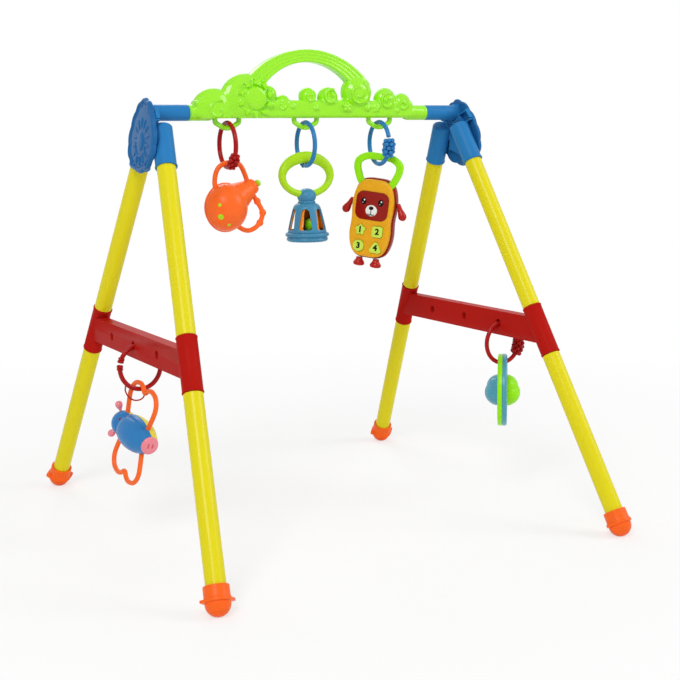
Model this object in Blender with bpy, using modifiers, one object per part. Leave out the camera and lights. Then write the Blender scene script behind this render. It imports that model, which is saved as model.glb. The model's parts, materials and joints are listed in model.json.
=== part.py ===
"""Baby play gym: two splayed A-frames, a cloud bar between their hubs and five hanging toys.

Metres, +Z up. +X runs along the cloud bar, the front is -Y, and the origin is on the floor under the
middle of the bar. Left is -X and right is +X, as someone standing in front sees them.
"""

import math

import bmesh
import bpy
from mathutils import Matrix, Vector

TURNED_STEPS = 18

# Fits
SEAT_GAP = 0.0003
SLIDE_GAP = 0.0004

# A-frames
TUBE_D = 0.022
TUBE_WALL = 0.0015
FOOT_X = 0.261
FOOT_Y = 0.2936
APEX_X = 0.200
BAR_Z = 0.5062
APEX_ABOVE_BAR = 0.0183
APEX_Z = BAR_Z + APEX_ABOVE_BAR

# Crossbars with their leg collars
BEAM_Z = 0.2352
BEAM_HEIGHT = 0.0313
BEAM_WIDTH = 0.016
BEAM_WALL = 0.0022
COLLAR_D = 0.0234
COLLAR_LENGTH = 0.0648
SPIGOT_LENGTH = 0.016
SPIGOT_WALL = 0.0018
BEAM_HOLE_D = 0.0096
BEAM_HOLE_SPACING = 0.080
BOSS_WALL = 0.0020

# Feet
FOOT_DOME_D = 0.0274
FOOT_FLAT_DEPTH = 0.0008
FOOT_SLEEVE_D = 0.0278
FOOT_SLEEVE_HEIGHT = 0.018
FOOT_BRIM_D = 0.031
FOOT_BRIM_THICKNESS = 0.0028
FOOT_EAR_SPAN = 0.0386
FOOT_EAR_WIDTH = 0.016

# Hubs
HUB_SOCKET_D = 0.0248
HUB_RIM_D = 0.0262
HUB_RIM_HEIGHT = 0.0022
HUB_SOCKET_BELOW_BAR = 0.0627
HUB_SOCKET_Z = BAR_Z - HUB_SOCKET_BELOW_BAR
HUB_TUBE_DEPTH = 0.046
HUB_CAP = 0.006
HUB_WEB = 0.003
COVER_HEIGHT = 0.0855
COVER_WIDTH = 0.086
COVER_BELOW_BAR = 0.0277
COVER_Z = BAR_Z - COVER_BELOW_BAR
COVER_THICKNESS = 0.0034
COVER_TAPER = 0.24
COVER_LOBES = 12
COVER_LOBE_DEPTH = 0.0011
COVER_BEAD_WIDTH = 0.0038
COVER_BEAD_HEIGHT = 0.0013
MEDALLION_D = 0.026
PETAL_COUNT = 8
PETAL_LENGTH = 0.012
PETAL_WIDTH = 0.0085
RELIEF_HEIGHT = 0.0016

# Cloud bar
BAR_END_INSET = 0.0366
BAR_HALF_LENGTH = APEX_X - BAR_END_INSET
BAR_SLEEVE_D = 0.019
BAR_SLEEVE_LENGTH = 0.026
BAR_SPIGOT_D = 0.0150
BAR_SPIGOT_LENGTH = 0.026
BAR_BOTTOM = -0.0066
BAR_TOP = 0.0150
BAR_DEPTH = 0.0190
BAR_CORE_INSET = 0.006
ARCH_OUTER_R = 0.111
ARCH_INNER_R = 0.077
ARCH_TOP = 0.0763
ARCH_BAND = 0.0152
ARCH_CENTRE_X = -0.0065
ARCH_DEPTH = 0.0160
ARCH_RIDGES = 4
ARCH_RIDGE_DEPTH = 0.0013
ARCH_SPREAD = math.radians(51)
SUN_D = 0.0280
SUN_X = -0.0813
SUN_HEIGHT = 0.0165
SUN_FACE = 0.0150
SUN_ROOT = 0.004

# Loops under the bar
LOOP_SPACING = 0.105
LOOP_MIDDLE_X = -0.009
LOOP_WIDTH = 0.0308
LOOP_ROD_D = 0.0062
LOOP_DROP = 0.0180

# Link rings
LINK_WIRE_D = 0.0056
LINK_HALF_WIDTH = 0.0252
LINK_HALF_HEIGHT = 0.0265
LINK_GAP = 0.0022
BERRY_D = 0.0132
BERRY_LENGTH = 0.0215
BERRY_BUMPS = 4

# Two-handled rattle
RATTLE_BODY_D = 0.0528
RATTLE_BODY_HEIGHT = 0.0580
RATTLE_BODY_SAG = 0.0028
RATTLE_BODY_OFFSET = -0.0041
RATTLE_BODY_DROP = 0.0452
RATTLE_NECK_D = 0.0205
RATTLE_NECK_REACH = 0.0465
RATTLE_NECK_LEAN = math.radians(58)
RATTLE_NECK_ROOT_D = 0.0380
RATTLE_NECK_ROOT = 0.0160
RATTLE_HANDLE_D = 0.0060
RATTLE_NOSE_D = 0.0088

# Bell rattle
BELL_RING_WIDTH = 0.076
BELL_RING_HEIGHT = 0.058
BELL_RING_TOP = 0.0145
BELL_RING_SIDE = 0.0095
BELL_RING_DEPTH = 0.0105
BELL_KNOB_D = 0.0240
BELL_NECK_D = 0.0206
BELL_CAGE_TOP_D = 0.0320
BELL_RIM_D = 0.0550
BELL_WALL = 0.0020
BELL_WINDOWS = 6
BELL_WINDOW_WIDTH = 0.0125
BELL_WINDOW_SILL = 0.0032
BELL_WINDOW_HEAD = 0.0040
BELL_BALL_D = 0.0180

# Toy phone
PHONE_WIDTH = 0.057
PHONE_HEIGHT = 0.100
PHONE_WAIST = 0.07
PHONE_FRONT_DEPTH = 0.0080
PHONE_BACK_DEPTH = 0.0140
PHONE_BACK_LIP = 0.0018
PHONE_HANDLE_WIDTH = 0.066
PHONE_HANDLE_BAND = 0.0092
PHONE_HANDLE_DEPTH = 0.0070
PHONE_YAW = math.radians(-48)
PHONE_ROLL = math.radians(8)
SCREEN_WIDTH = 0.0436
SCREEN_HEIGHT = 0.0360
SCREEN_DEPTH = 0.0022
SCREEN_CORNER = 0.0095
KEY_SIZE = 0.0146
KEY_SPREAD = 0.0232
KEY_ROWS = (-0.0157, -0.0365)
KEY_PROUD = 0.0022
KEY_TRAVEL = 0.0015
KEY_POCKET_DEPTH = 0.0060
ARM_D = 0.0062
HAND_D = 0.0108
PHONE_FOOT_D = 0.0150
BATTERY_COVER_WIDTH = 0.034
BATTERY_COVER_HEIGHT = 0.040

# Piglet rattle
PIGLET_TILT = math.radians(12)
PIGLET_YAW = math.radians(6)
PIGLET_LEAN = math.radians(12)
PIGLET_HANDLE_D = 0.0058
PIGLET_LOBE_REACH = 0.0570
PIGLET_LOBE_OUT = 0.0160
PIGLET_HANG_OUT = 0.0150
PIGLET_HEAD_D = 0.0315
PIGLET_BODY_D = 0.0410
SNOUT_D = 0.0216
EAR_D = 0.0090
EAR_LENGTH = 0.0125
EAR_PEG_D = 0.0032
EAR_PEG_LENGTH = 0.0038

# Petal ball in its double ring
RING_D = 0.0944
RING_BAND = 0.0056
RING_THICKNESS = 0.0059
PETAL_BALL_D = 0.046
PETAL_BALL_WIDTH = 0.049
PETAL_BALL_LOBES = 6
PETAL_BALL_YAW = math.radians(-36)
AXLE_D = 0.0050

# Worked out from the sizes above
LEAN = math.hypot(1.0, (FOOT_X - APEX_X) / APEX_Z, FOOT_Y / APEX_Z)
FRAME_TILT = math.atan2(FOOT_X - APEX_X, APEX_Z)
BEAM_X = FOOT_X + (APEX_X - FOOT_X) * BEAM_Z / APEX_Z
TUBE_BORE_D = TUBE_D - 2 * TUBE_WALL
TUBE_SEAT_D = TUBE_D + 2 * SEAT_GAP
FOOT_CENTRE_Z = FOOT_DOME_D / 2 - FOOT_FLAT_DEPTH
LOOP_ROD_Z = BAR_Z - LOOP_DROP
BAR_LINK_TOP = LOOP_ROD_Z + LOOP_ROD_D / 2 + SEAT_GAP + LINK_WIRE_D / 2
LINK_DROP = 2 * LINK_HALF_HEIGHT
HANG_RISE = LINK_WIRE_D / 2 + SEAT_GAP

# A toy whose handle crosses its link at a slant, or is broad there, rides this much higher in it
SLANT_RISE = {"phone": 0.0015, "piglet": 0.0007, "petal": 0.0021}

SIDES = {"left": -1, "right": 1}
ENDS = {"front": -1, "rear": 1}
GREEN, ORANGE, YELLOW, BLUE, RED = (
    (0.42, 0.86, 0.03),
    (0.95, 0.17, 0.02),
    (0.80, 0.68, 0.02),
    (0.03, 0.22, 0.60),
    (0.46, 0.01, 0.01),
)
TEAL, LIME, AMBER, MAROON, PINK, SUNNY = (
    (0.06, 0.32, 0.46),
    (0.45, 0.72, 0.04),
    (0.86, 0.44, 0.03),
    (0.36, 0.01, 0.01),
    (0.86, 0.24, 0.30),
    (0.78, 0.62, 0.03),
)


def clear_scene():
    for obj in list(bpy.data.objects):
        bpy.data.objects.remove(obj)


def new_collection(name):
    collection = bpy.data.collections.new(name)
    bpy.context.scene.collection.children.link(collection)
    return collection


def plastic(name, colour, roughness=0.35):
    material = bpy.data.materials.new(name)
    material.use_nodes = True
    shader = material.node_tree.nodes["Principled BSDF"]
    shader.inputs["Base Color"].default_value = (*colour, 1.0)
    shader.inputs["Roughness"].default_value = roughness
    shader.inputs["Metallic"].default_value = 0.0
    return material


def add_object(name, data, material=None, parent=None, matrix=None):
    obj = bpy.data.objects.new(name, data)
    gym.objects.link(obj)
    if parent:
        obj.parent = parent
    if matrix:
        obj.matrix_basis = matrix
    if material and data and not data.materials:
        data.materials.append(material)
    return obj


def pivot(name, location, rotation=None, parent=None):
    """An empty on a joint's axis, which carries the moving pieces."""
    frame = Matrix.Translation(location) @ (rotation or Matrix.Identity(4))
    empty = add_object(name, None, parent=parent, matrix=frame)
    return empty


def finished(obj):
    """The object as one plain mesh, with its modifiers or its curve taken up."""
    bpy.context.view_layer.update()
    graph = bpy.context.evaluated_depsgraph_get()
    mesh = bpy.data.meshes.new_from_object(obj.evaluated_get(graph))
    edit = bmesh.new()
    edit.from_mesh(mesh)
    bmesh.ops.remove_doubles(edit, verts=edit.verts, dist=0.000002)
    edit.to_mesh(mesh)
    edit.free()
    name, parent, matrix = obj.name, obj.parent, obj.matrix_basis.copy()
    bpy.data.objects.remove(obj)
    mesh.shade_smooth()
    mesh.set_sharp_from_angle(angle=math.radians(35))
    return add_object(name, mesh, parent=parent, matrix=matrix)


def combine(target, tool, operation):
    modifier = target.modifiers.new(tool.name, "BOOLEAN")
    modifier.operation = operation
    modifier.solver = "EXACT"
    modifier.object = tool
    if tool.name in gym.objects:
        gym.objects.unlink(tool)
        cutters.objects.link(tool)
    tool.hide_render = True
    tool.display_type = "WIRE"


def cut(target, *tools):
    for tool in tools:
        combine(target, tool, "DIFFERENCE")


def fuse(target, *tools):
    for tool in tools:
        combine(target, tool, "UNION")


def round_edges(obj, width, segments=2, angle=30):
    modifier = obj.modifiers.new("rounded edges", "BEVEL")
    modifier.width = width
    modifier.segments = segments
    modifier.limit_method = "ANGLE"
    modifier.angle_limit = math.radians(angle)
    return modifier


def box(name, low, high, material=None, parent=None, edge=0.0, matrix=None):
    mesh = bpy.data.meshes.new(name)
    edit = bmesh.new()
    size = Vector(high) - Vector(low)
    middle = (Vector(high) + Vector(low)) / 2
    place = Matrix.Translation(middle) @ Matrix.Diagonal((*size, 1.0))
    bmesh.ops.create_cube(edit, size=1.0, matrix=place)
    edit.to_mesh(mesh)
    edit.free()
    obj = add_object(name, mesh, material, parent, matrix)
    if edge:
        round_edges(obj, edge)
    return obj


def ball(name, radii, centre, material=None, parent=None, around=20, rows=10, turn=None):
    """A sphere or, with unlike radii, an ellipsoid. Its poles are on Z before the turn."""
    mesh = bpy.data.meshes.new(name)
    edit = bmesh.new()
    place = Matrix.Translation(centre) @ (turn or Matrix.Identity(4)) @ Matrix.Diagonal((*radii, 1.0))
    bmesh.ops.create_uvsphere(edit, u_segments=around, v_segments=rows, radius=1.0, matrix=place)
    edit.to_mesh(mesh)
    edit.free()
    return add_object(name, mesh, material, parent)


def turned(name, profile, material=None, parent=None, matrix=None, steps=TURNED_STEPS):
    """A profile of (radius, height) points turned about Z, running down its outer side."""
    mesh = bpy.data.meshes.new(name)
    points = [(radius, 0.0, height) for radius, height in profile]
    edges = [(i, i + 1) for i in range(len(points) - 1)]
    if profile[0][0] > 0 and profile[-1][0] > 0:
        edges.append((len(points) - 1, 0))
    mesh.from_pydata(points, edges, [])
    obj = add_object(name, mesh, material, parent, matrix)
    screw = obj.modifiers.new("turned", "SCREW")
    screw.axis = "Z"
    screw.angle = math.tau
    screw.steps = screw.render_steps = steps
    screw.use_merge_vertices = True
    screw.merge_threshold = 0.00001
    return obj


def rod(name, points, radius, material=None, parent=None, closed=False, sides=2, matrix=None):
    """A round wire along the points, as a mesh."""
    curve = bpy.data.curves.new(name, "CURVE")
    curve.dimensions = "3D"
    curve.bevel_depth = radius
    curve.bevel_resolution = sides
    curve.use_fill_caps = True
    spline = curve.splines.new("POLY")
    spline.points.add(len(points) - 1)
    for point, place in zip(spline.points, points):
        point.co = (*place, 1.0)
    spline.use_cyclic_u = closed
    return finished(add_object(name, curve, material, parent, matrix))


def slab(name, outlines, thickness, material=None, parent=None, matrix=None):
    """A flat shape in local XY, with any inner outlines as holes, centred on local Z = 0."""
    curve = bpy.data.curves.new(name, "CURVE")
    curve.dimensions = "2D"
    curve.fill_mode = "BOTH"
    curve.extrude = thickness / 2
    for outline in outlines:
        spline = curve.splines.new("POLY")
        spline.points.add(len(outline) - 1)
        for point, (across, up) in zip(spline.points, outline):
            point.co = (across, up, 0.0, 1.0)
        spline.use_cyclic_u = True
    return finished(add_object(name, curve, material, parent, matrix))


def loft(name, rings, material=None, parent=None, closed=False):
    """A skin over rings of points, capped at both ends or closed on itself."""
    mesh = bpy.data.meshes.new(name)
    edit = bmesh.new()
    rows = [[edit.verts.new(point) for point in ring] for ring in rings]
    count = len(rows[0])
    pairs = list(zip(rows, rows[1:])) + ([(rows[-1], rows[0])] if closed else [])
    for low, high in pairs:
        for i in range(count):
            j = (i + 1) % count
            edit.faces.new((low[i], low[j], high[j], high[i]))
    if not closed:
        edit.faces.new(rows[0])
        edit.faces.new(rows[-1])
    bmesh.ops.recalc_face_normals(edit, faces=edit.faces)
    edit.to_mesh(mesh)
    edit.free()
    return add_object(name, mesh, material, parent)


def smooth_path(points, closed=False, per_span=4):
    """Points on a smooth curve through the given ones."""
    points = [Vector(point) for point in points]
    count = len(points)
    spans = count if closed else count - 1
    path = []
    for i in range(spans):
        if closed:
            before, start, end, after = (points[(i + k) % count] for k in (-1, 0, 1, 2))
        else:
            before, start = points[max(i - 1, 0)], points[i]
            end, after = points[i + 1], points[min(i + 2, count - 1)]
        for k in range(per_span):
            t = k / per_span
            path.append(
                0.5
                * (
                    2 * start
                    + (end - before) * t
                    + (2 * before - 5 * start + 4 * end - after) * t**2
                    + (3 * start - before - 3 * end + after) * t**3
                )
            )
    if not closed:
        path.append(points[-1])
    return path


def rounded_box_outline(width, height, radius, steps=4, middle=(0.0, 0.0)):
    outline = []
    for quarter in range(4):
        across = (width / 2 - radius) * (1 if quarter in (0, 3) else -1)
        up = (height / 2 - radius) * (1 if quarter in (0, 1) else -1)
        for k in range(steps + 1):
            angle = math.pi / 2 * (quarter + k / steps)
            outline.append(
                (
                    middle[0] + across + radius * math.cos(angle),
                    middle[1] + up + radius * math.sin(angle),
                )
            )
    return outline


def facing_front(location=(0.0, 0.0, 0.0)):
    """Turns local XY into the XZ plane, with local +Z towards the front."""
    return Matrix.Translation(location) @ Matrix.Rotation(math.pi / 2, 4, "X")


def leg_frame(side, end):
    """Origin on the floor, local Z up along the leg's axis and local X across it."""
    foot = Vector((side * FOOT_X, end * FOOT_Y, 0.0))
    apex = Vector((side * APEX_X, 0.0, APEX_Z))
    up = (apex - foot).normalized()
    back = up.cross(Vector((1.0, 0.0, 0.0))).normalized()
    across = back.cross(up)
    turn = Matrix((across, back, up)).transposed().to_4x4()
    return Matrix.Translation(foot) @ turn


def along_leg(height):
    """Distance along a leg's axis from the floor to a height."""
    return height * LEAN


def frame_plane(side):
    """Local X outwards from an A-frame, local Y to the rear and local Z up in the frame's plane."""
    return Matrix.Rotation(-side * FRAME_TILT, 4, "Y")


def tube(name, side, end, start, stop, material):
    radius, bore = TUBE_D / 2, TUBE_BORE_D / 2
    profile = ((bore, stop), (radius, stop), (radius, start), (bore, start))
    return turned(name, profile, material, matrix=leg_frame(side, end))


def foot(name, side, end, material):
    """A cup over the tube's end, with a brim, two pointed ears and a dome that stands on the floor."""
    centre = along_leg(FOOT_CENTRE_Z)
    dome, seat = FOOT_DOME_D / 2, TUBE_SEAT_D / 2
    sleeve, brim = FOOT_SLEEVE_D / 2, FOOT_BRIM_D / 2
    floor = foot_seat() - SEAT_GAP - centre
    brim_low = 0.0014
    profile = [
        (0.0, floor),
        (seat, floor),
        (seat, FOOT_SLEEVE_HEIGHT),
        (sleeve, FOOT_SLEEVE_HEIGHT),
        (sleeve, brim_low + FOOT_BRIM_THICKNESS + 0.0006),
        (brim, brim_low + FOOT_BRIM_THICKNESS),
        (brim, brim_low),
    ]
    steps = 4
    profile += [
        (dome * math.cos(math.pi / 2 * k / steps), -dome * math.sin(math.pi / 2 * k / steps))
        for k in range(steps + 1)
    ]
    profile = [(radius if radius > 1e-6 else 0.0, height + centre) for radius, height in profile]
    piece = turned(name, profile, material, matrix=leg_frame(side, end))
    reach, half = FOOT_EAR_SPAN / 2, FOOT_EAR_WIDTH / 2
    inner = (seat + sleeve) / 2
    for sign in (-1, 1):
        outline = [(sign * inner, -half), (sign * reach, 0.0), (sign * inner, half)]
        level = centre + brim_low + FOOT_BRIM_THICKNESS / 2
        place = leg_frame(side, end) @ Matrix.Translation((0, 0, level))
        ear = slab(f"{name}_ear_{sign + 1}", [outline], FOOT_BRIM_THICKNESS * 0.8, matrix=place)
        fuse(piece, ear)
    cut(piece, box(f"{name}_floor", (-1, -1, -0.1), (1, 1, 0)))
    return finished(piece)


def foot_seat():
    """Distance along the leg to the lower end of its tube."""
    return along_leg(FOOT_CENTRE_Z) + 0.0012


def bore_cutter(name, side, end, start, length, diameter=TUBE_SEAT_D):
    profile = ((0.0, start + length), (diameter / 2, start + length), (diameter / 2, start), (0.0, start))
    half_facet = Matrix.Rotation(math.tau / TURNED_STEPS / 2, 4, "Z")
    return turned(name, profile, matrix=leg_frame(side, end) @ half_facet)


def crossbar(name, side, material):
    """A downward-open channel between two leg collars, with three bushed holes for link rings."""
    half_height, half_width = BEAM_HEIGHT / 2, BEAM_WIDTH / 2
    collar_y = FOOT_Y * (1 - BEAM_Z / APEX_Z)
    low = (side * BEAM_X - half_width, -collar_y, BEAM_Z - half_height)
    high = (side * BEAM_X + half_width, collar_y, BEAM_Z + half_height)
    piece = box(name, low, high, material)
    channel_y = collar_y - COLLAR_D * 0.72
    channel = box(
        f"{name}_channel",
        (low[0] + BEAM_WALL, -channel_y, low[2] - 0.01),
        (high[0] - BEAM_WALL, channel_y, high[2] - BEAM_WALL),
    )
    cut(piece, channel)
    holes = [k * BEAM_HOLE_SPACING for k in (-1, 0, 1)]
    boss_d = BEAM_HOLE_D + 2 * BOSS_WALL
    for k, hole_y in enumerate(holes):
        place = Matrix.Translation((side * BEAM_X, hole_y, BEAM_Z)) @ Matrix.Rotation(math.pi / 2, 4, "Y")
        inside = half_width - BEAM_WALL / 2
        boss = turned(
            f"{name}_boss_{k}",
            ((0, inside), (boss_d / 2, inside), (boss_d / 2, -inside), (0, -inside)),
            matrix=place,
            steps=16,
        )
        fuse(piece, boss)
    ribs = [(a + b) / 2 for a, b in zip(holes, holes[1:])]
    for k, rib_y in enumerate(ribs):
        rib = box(
            f"{name}_rib_{k}",
            (low[0] + BEAM_WALL / 2, rib_y - BEAM_WALL / 2, low[2] + 0.003),
            (high[0] - BEAM_WALL / 2, rib_y + BEAM_WALL / 2, high[2] - BEAM_WALL / 2),
        )
        fuse(piece, rib)
    for k, hole_y in enumerate(holes):
        place = Matrix.Translation((side * BEAM_X, hole_y, BEAM_Z)) @ Matrix.Rotation(math.pi / 2, 4, "Y")
        drill = turned(
            f"{name}_hole_{k}",
            (
                (0, BEAM_WIDTH),
                (BEAM_HOLE_D / 2, BEAM_WIDTH),
                (BEAM_HOLE_D / 2, -BEAM_WIDTH),
                (0, -BEAM_WIDTH),
            ),
            matrix=place,
            steps=16,
        )
        cut(piece, drill)
    middle = along_leg(BEAM_Z)
    half = COLLAR_LENGTH / 2
    spigot = TUBE_BORE_D / 2 - SEAT_GAP
    bore = spigot - SPIGOT_WALL
    reach = half + SPIGOT_LENGTH
    for end_name, end in ENDS.items():
        body = [
            (0.0, reach),
            (spigot, reach),
            (spigot, half),
            (COLLAR_D / 2, half),
            (COLLAR_D / 2, -half),
            (spigot, -half),
            (spigot, -reach),
            (0.0, -reach),
        ]
        profile = [(radius, middle + height) for radius, height in body]
        fuse(piece, turned(f"{name}_{end_name}_collar", profile, matrix=leg_frame(side, end)))
    for end_name, end in ENDS.items():
        start = middle - reach - 0.001
        cut(piece, bore_cutter(f"{name}_{end_name}_bore", side, end, start, 2 * reach + 0.002, 2 * bore))
    return finished(piece)


def hub(name, side, material):
    """Two leg sockets and the bar socket in one moulding, with a web between the legs."""
    socket = along_leg(HUB_SOCKET_Z)
    top = socket + HUB_TUBE_DEPTH + HUB_CAP
    radius, rim = HUB_SOCKET_D / 2, HUB_RIM_D / 2
    profile = [
        (0.0, top + 0.010),
        (radius * 0.72, top + 0.010),
        (radius, top),
        (radius, socket + HUB_RIM_HEIGHT + 0.0008),
        (rim, socket + HUB_RIM_HEIGHT),
        (rim, socket),
        (0.0, socket),
    ]
    piece = turned(name, profile, material, matrix=leg_frame(side, -1))
    fuse(piece, turned(f"{name}_rear_socket", profile, matrix=leg_frame(side, 1)))
    bar_face = BAR_HALF_LENGTH + SEAT_GAP
    bar_end = APEX_X + 0.012
    sleeve = BAR_SLEEVE_D / 2
    inwards = Matrix.Translation((0, 0, BAR_Z)) @ Matrix.Rotation(side * math.pi / 2, 4, "Y")
    bar_profile = ((0, bar_end), (sleeve, bar_end), (sleeve, bar_face), (0, bar_face))
    fuse(piece, turned(f"{name}_bar_socket", bar_profile, matrix=inwards))
    web_x = APEX_X + 0.006
    outline = hub_web_outline()
    plane = Matrix.Translation((side * web_x, 0, BAR_Z)) @ frame_plane(side)
    upright = plane @ Matrix.Rotation(math.pi / 2, 4, "Z") @ Matrix.Rotation(math.pi / 2, 4, "X")
    fuse(piece, slab(f"{name}_web", [outline], HUB_WEB, matrix=upright))
    for end_name, end in ENDS.items():
        depth = HUB_TUBE_DEPTH + SEAT_GAP
        cut(piece, bore_cutter(f"{name}_{end_name}_bore", side, end, socket - 0.002, depth + 0.002))
    bore = BAR_SPIGOT_D / 2 + SEAT_GAP
    depth = BAR_SPIGOT_LENGTH + 2 * SEAT_GAP
    bore_profile = (
        (0, bar_face + depth),
        (bore, bar_face + depth),
        (bore, bar_face - 0.002),
        (0, bar_face - 0.002),
    )
    cut(piece, turned(f"{name}_bar_bore", bore_profile, matrix=inwards, steps=22))
    return finished(piece)


def hub_web_outline():
    """The web fills the crotch of the sockets and ends in two shallow scallops."""
    half, drop = 0.022, 0.056
    scallops = [
        (half * (1 - 2 * k / 12), -drop + 0.006 * abs(math.cos(math.pi * k / 12)))
        for k in range(13)
    ]
    return [(-0.006, 0.010), (0.006, 0.010)] + scallops


def cover_outline(inset=0.0):
    """An egg outline, broad at the bottom, with shallow lobes round its edge."""
    count = COVER_LOBES * 3
    points = []
    for k in range(count):
        angle = math.tau * k / count
        lobe = COVER_LOBE_DEPTH * math.cos(COVER_LOBES * angle)
        half_width = COVER_WIDTH / 2 - inset + lobe
        half_height = COVER_HEIGHT / 2 - inset + lobe
        across = half_width * math.sin(angle) * (1 - COVER_TAPER * math.cos(angle))
        points.append((across, half_height * math.cos(angle)))
    return points


def hub_cover(name, side, material):
    """The outer plate of a hub: a raised bead round its edge and a flower in relief."""
    leg_x = FOOT_X + (APEX_X - FOOT_X) * COVER_Z / APEX_Z
    stand_off = (HUB_SOCKET_D / 2 + SEAT_GAP) / math.cos(FRAME_TILT)
    plane = Matrix.Translation((side * (leg_x + stand_off), 0, COVER_Z)) @ frame_plane(side)
    outwards = Matrix.Rotation(side * math.pi / 2, 4, "Y") @ Matrix.Rotation(side * math.pi / 2, 4, "Z")
    frame = plane @ outwards
    crest = COVER_THICKNESS + COVER_BEAD_HEIGHT
    levels = (
        (0.0, 0.0),
        (0.0, COVER_THICKNESS),
        (COVER_BEAD_WIDTH * 0.3, crest),
        (COVER_BEAD_WIDTH * 0.7, crest),
        (COVER_BEAD_WIDTH, COVER_THICKNESS),
    )
    rings = [[frame @ Vector((*point, level)) for point in cover_outline(inset)] for inset, level in levels]
    piece = loft(name, rings, material)
    relief = COVER_THICKNESS + RELIEF_HEIGHT
    sunk = COVER_THICKNESS * 0.5
    disc = ((0, relief), (MEDALLION_D / 2 - 0.0015, relief), (MEDALLION_D / 2, sunk), (0, sunk))
    fuse(piece, turned(f"{name}_medallion", disc, matrix=frame, steps=18))
    for k in range(PETAL_COUNT):
        angle = math.tau * (k + 0.5) / PETAL_COUNT
        reach = MEDALLION_D / 2 + PETAL_LENGTH * 0.46
        spot = (reach * math.sin(angle), reach * math.cos(angle), COVER_THICKNESS * 0.95)
        petal = ball(
            f"{name}_petal_{k}",
            (PETAL_WIDTH / 2, PETAL_LENGTH / 2, RELIEF_HEIGHT),
            spot,
            around=6,
            rows=4,
            turn=Matrix.Rotation(-angle, 4, "Z"),
        )
        petal.matrix_basis = frame
        fuse(piece, petal)
    return finished(piece)


def arch_rings():
    """Sections of the rainbow: ridged front and back, and broader towards the feet."""
    outer_centre = ARCH_TOP - ARCH_OUTER_R
    inner_centre = ARCH_TOP - ARCH_BAND - ARCH_INNER_R
    bays = 2 * ARCH_RIDGES
    rings = []
    sections = 14
    for k in range(sections + 1):
        angle = ARCH_SPREAD * (1 - 2 * k / sections)
        outer = Vector((ARCH_OUTER_R * math.sin(angle), outer_centre + ARCH_OUTER_R * math.cos(angle)))
        inner = Vector((ARCH_INNER_R * math.sin(angle), inner_centre + ARCH_INNER_R * math.cos(angle)))
        ring = []
        for face in (-1, 1):
            steps = range(bays + 1) if face < 0 else range(bays, -1, -1)
            for step in steps:
                place = inner.lerp(outer, step / bays)
                groove = ARCH_RIDGE_DEPTH if step % 2 == 0 else 0.0
                depth = face * (ARCH_DEPTH / 2 - groove)
                ring.append((ARCH_CENTRE_X + place[0], depth, place[1]))
        rings.append(ring)
    return rings


def cloud_puffs():
    """(x, height, radius, half depth) of each swelling along the bar."""
    return (
        (-0.1310, 0.0000, 0.0290, 0.0115),
        (-0.0890, 0.0120, 0.0347, 0.0140),
        (-0.0595, 0.0215, 0.0110, 0.0105),
        (-0.0405, 0.0120, 0.0097, 0.0100),
        (-0.0063, 0.0200, 0.0108, 0.0105),
        (0.0220, 0.0180, 0.0134, 0.0110),
        (0.0626, 0.0253, 0.0206, 0.0150),
        (0.0480, 0.0060, 0.0130, 0.0120),
        (0.1042, 0.0160, 0.0152, 0.0115),
        (0.1285, 0.0120, 0.0126, 0.0105),
    )


def loop_centres():
    return [LOOP_MIDDLE_X + k * LOOP_SPACING for k in (-1, 0, 1)]


def loop_path(middle_x):
    half, drop = LOOP_WIDTH / 2, LOOP_DROP
    shape = (
        (-half, -0.002),
        (-half, -0.0105),
        (-half * 0.80, -0.0148),
        (-half * 0.42, -drop + 0.0012),
        (0.0, -drop),
    )
    points = list(shape) + [(-x, height) for x, height in reversed(shape[:-1])]
    return [(middle_x + x, 0.0, height) for x, height in points]


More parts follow.
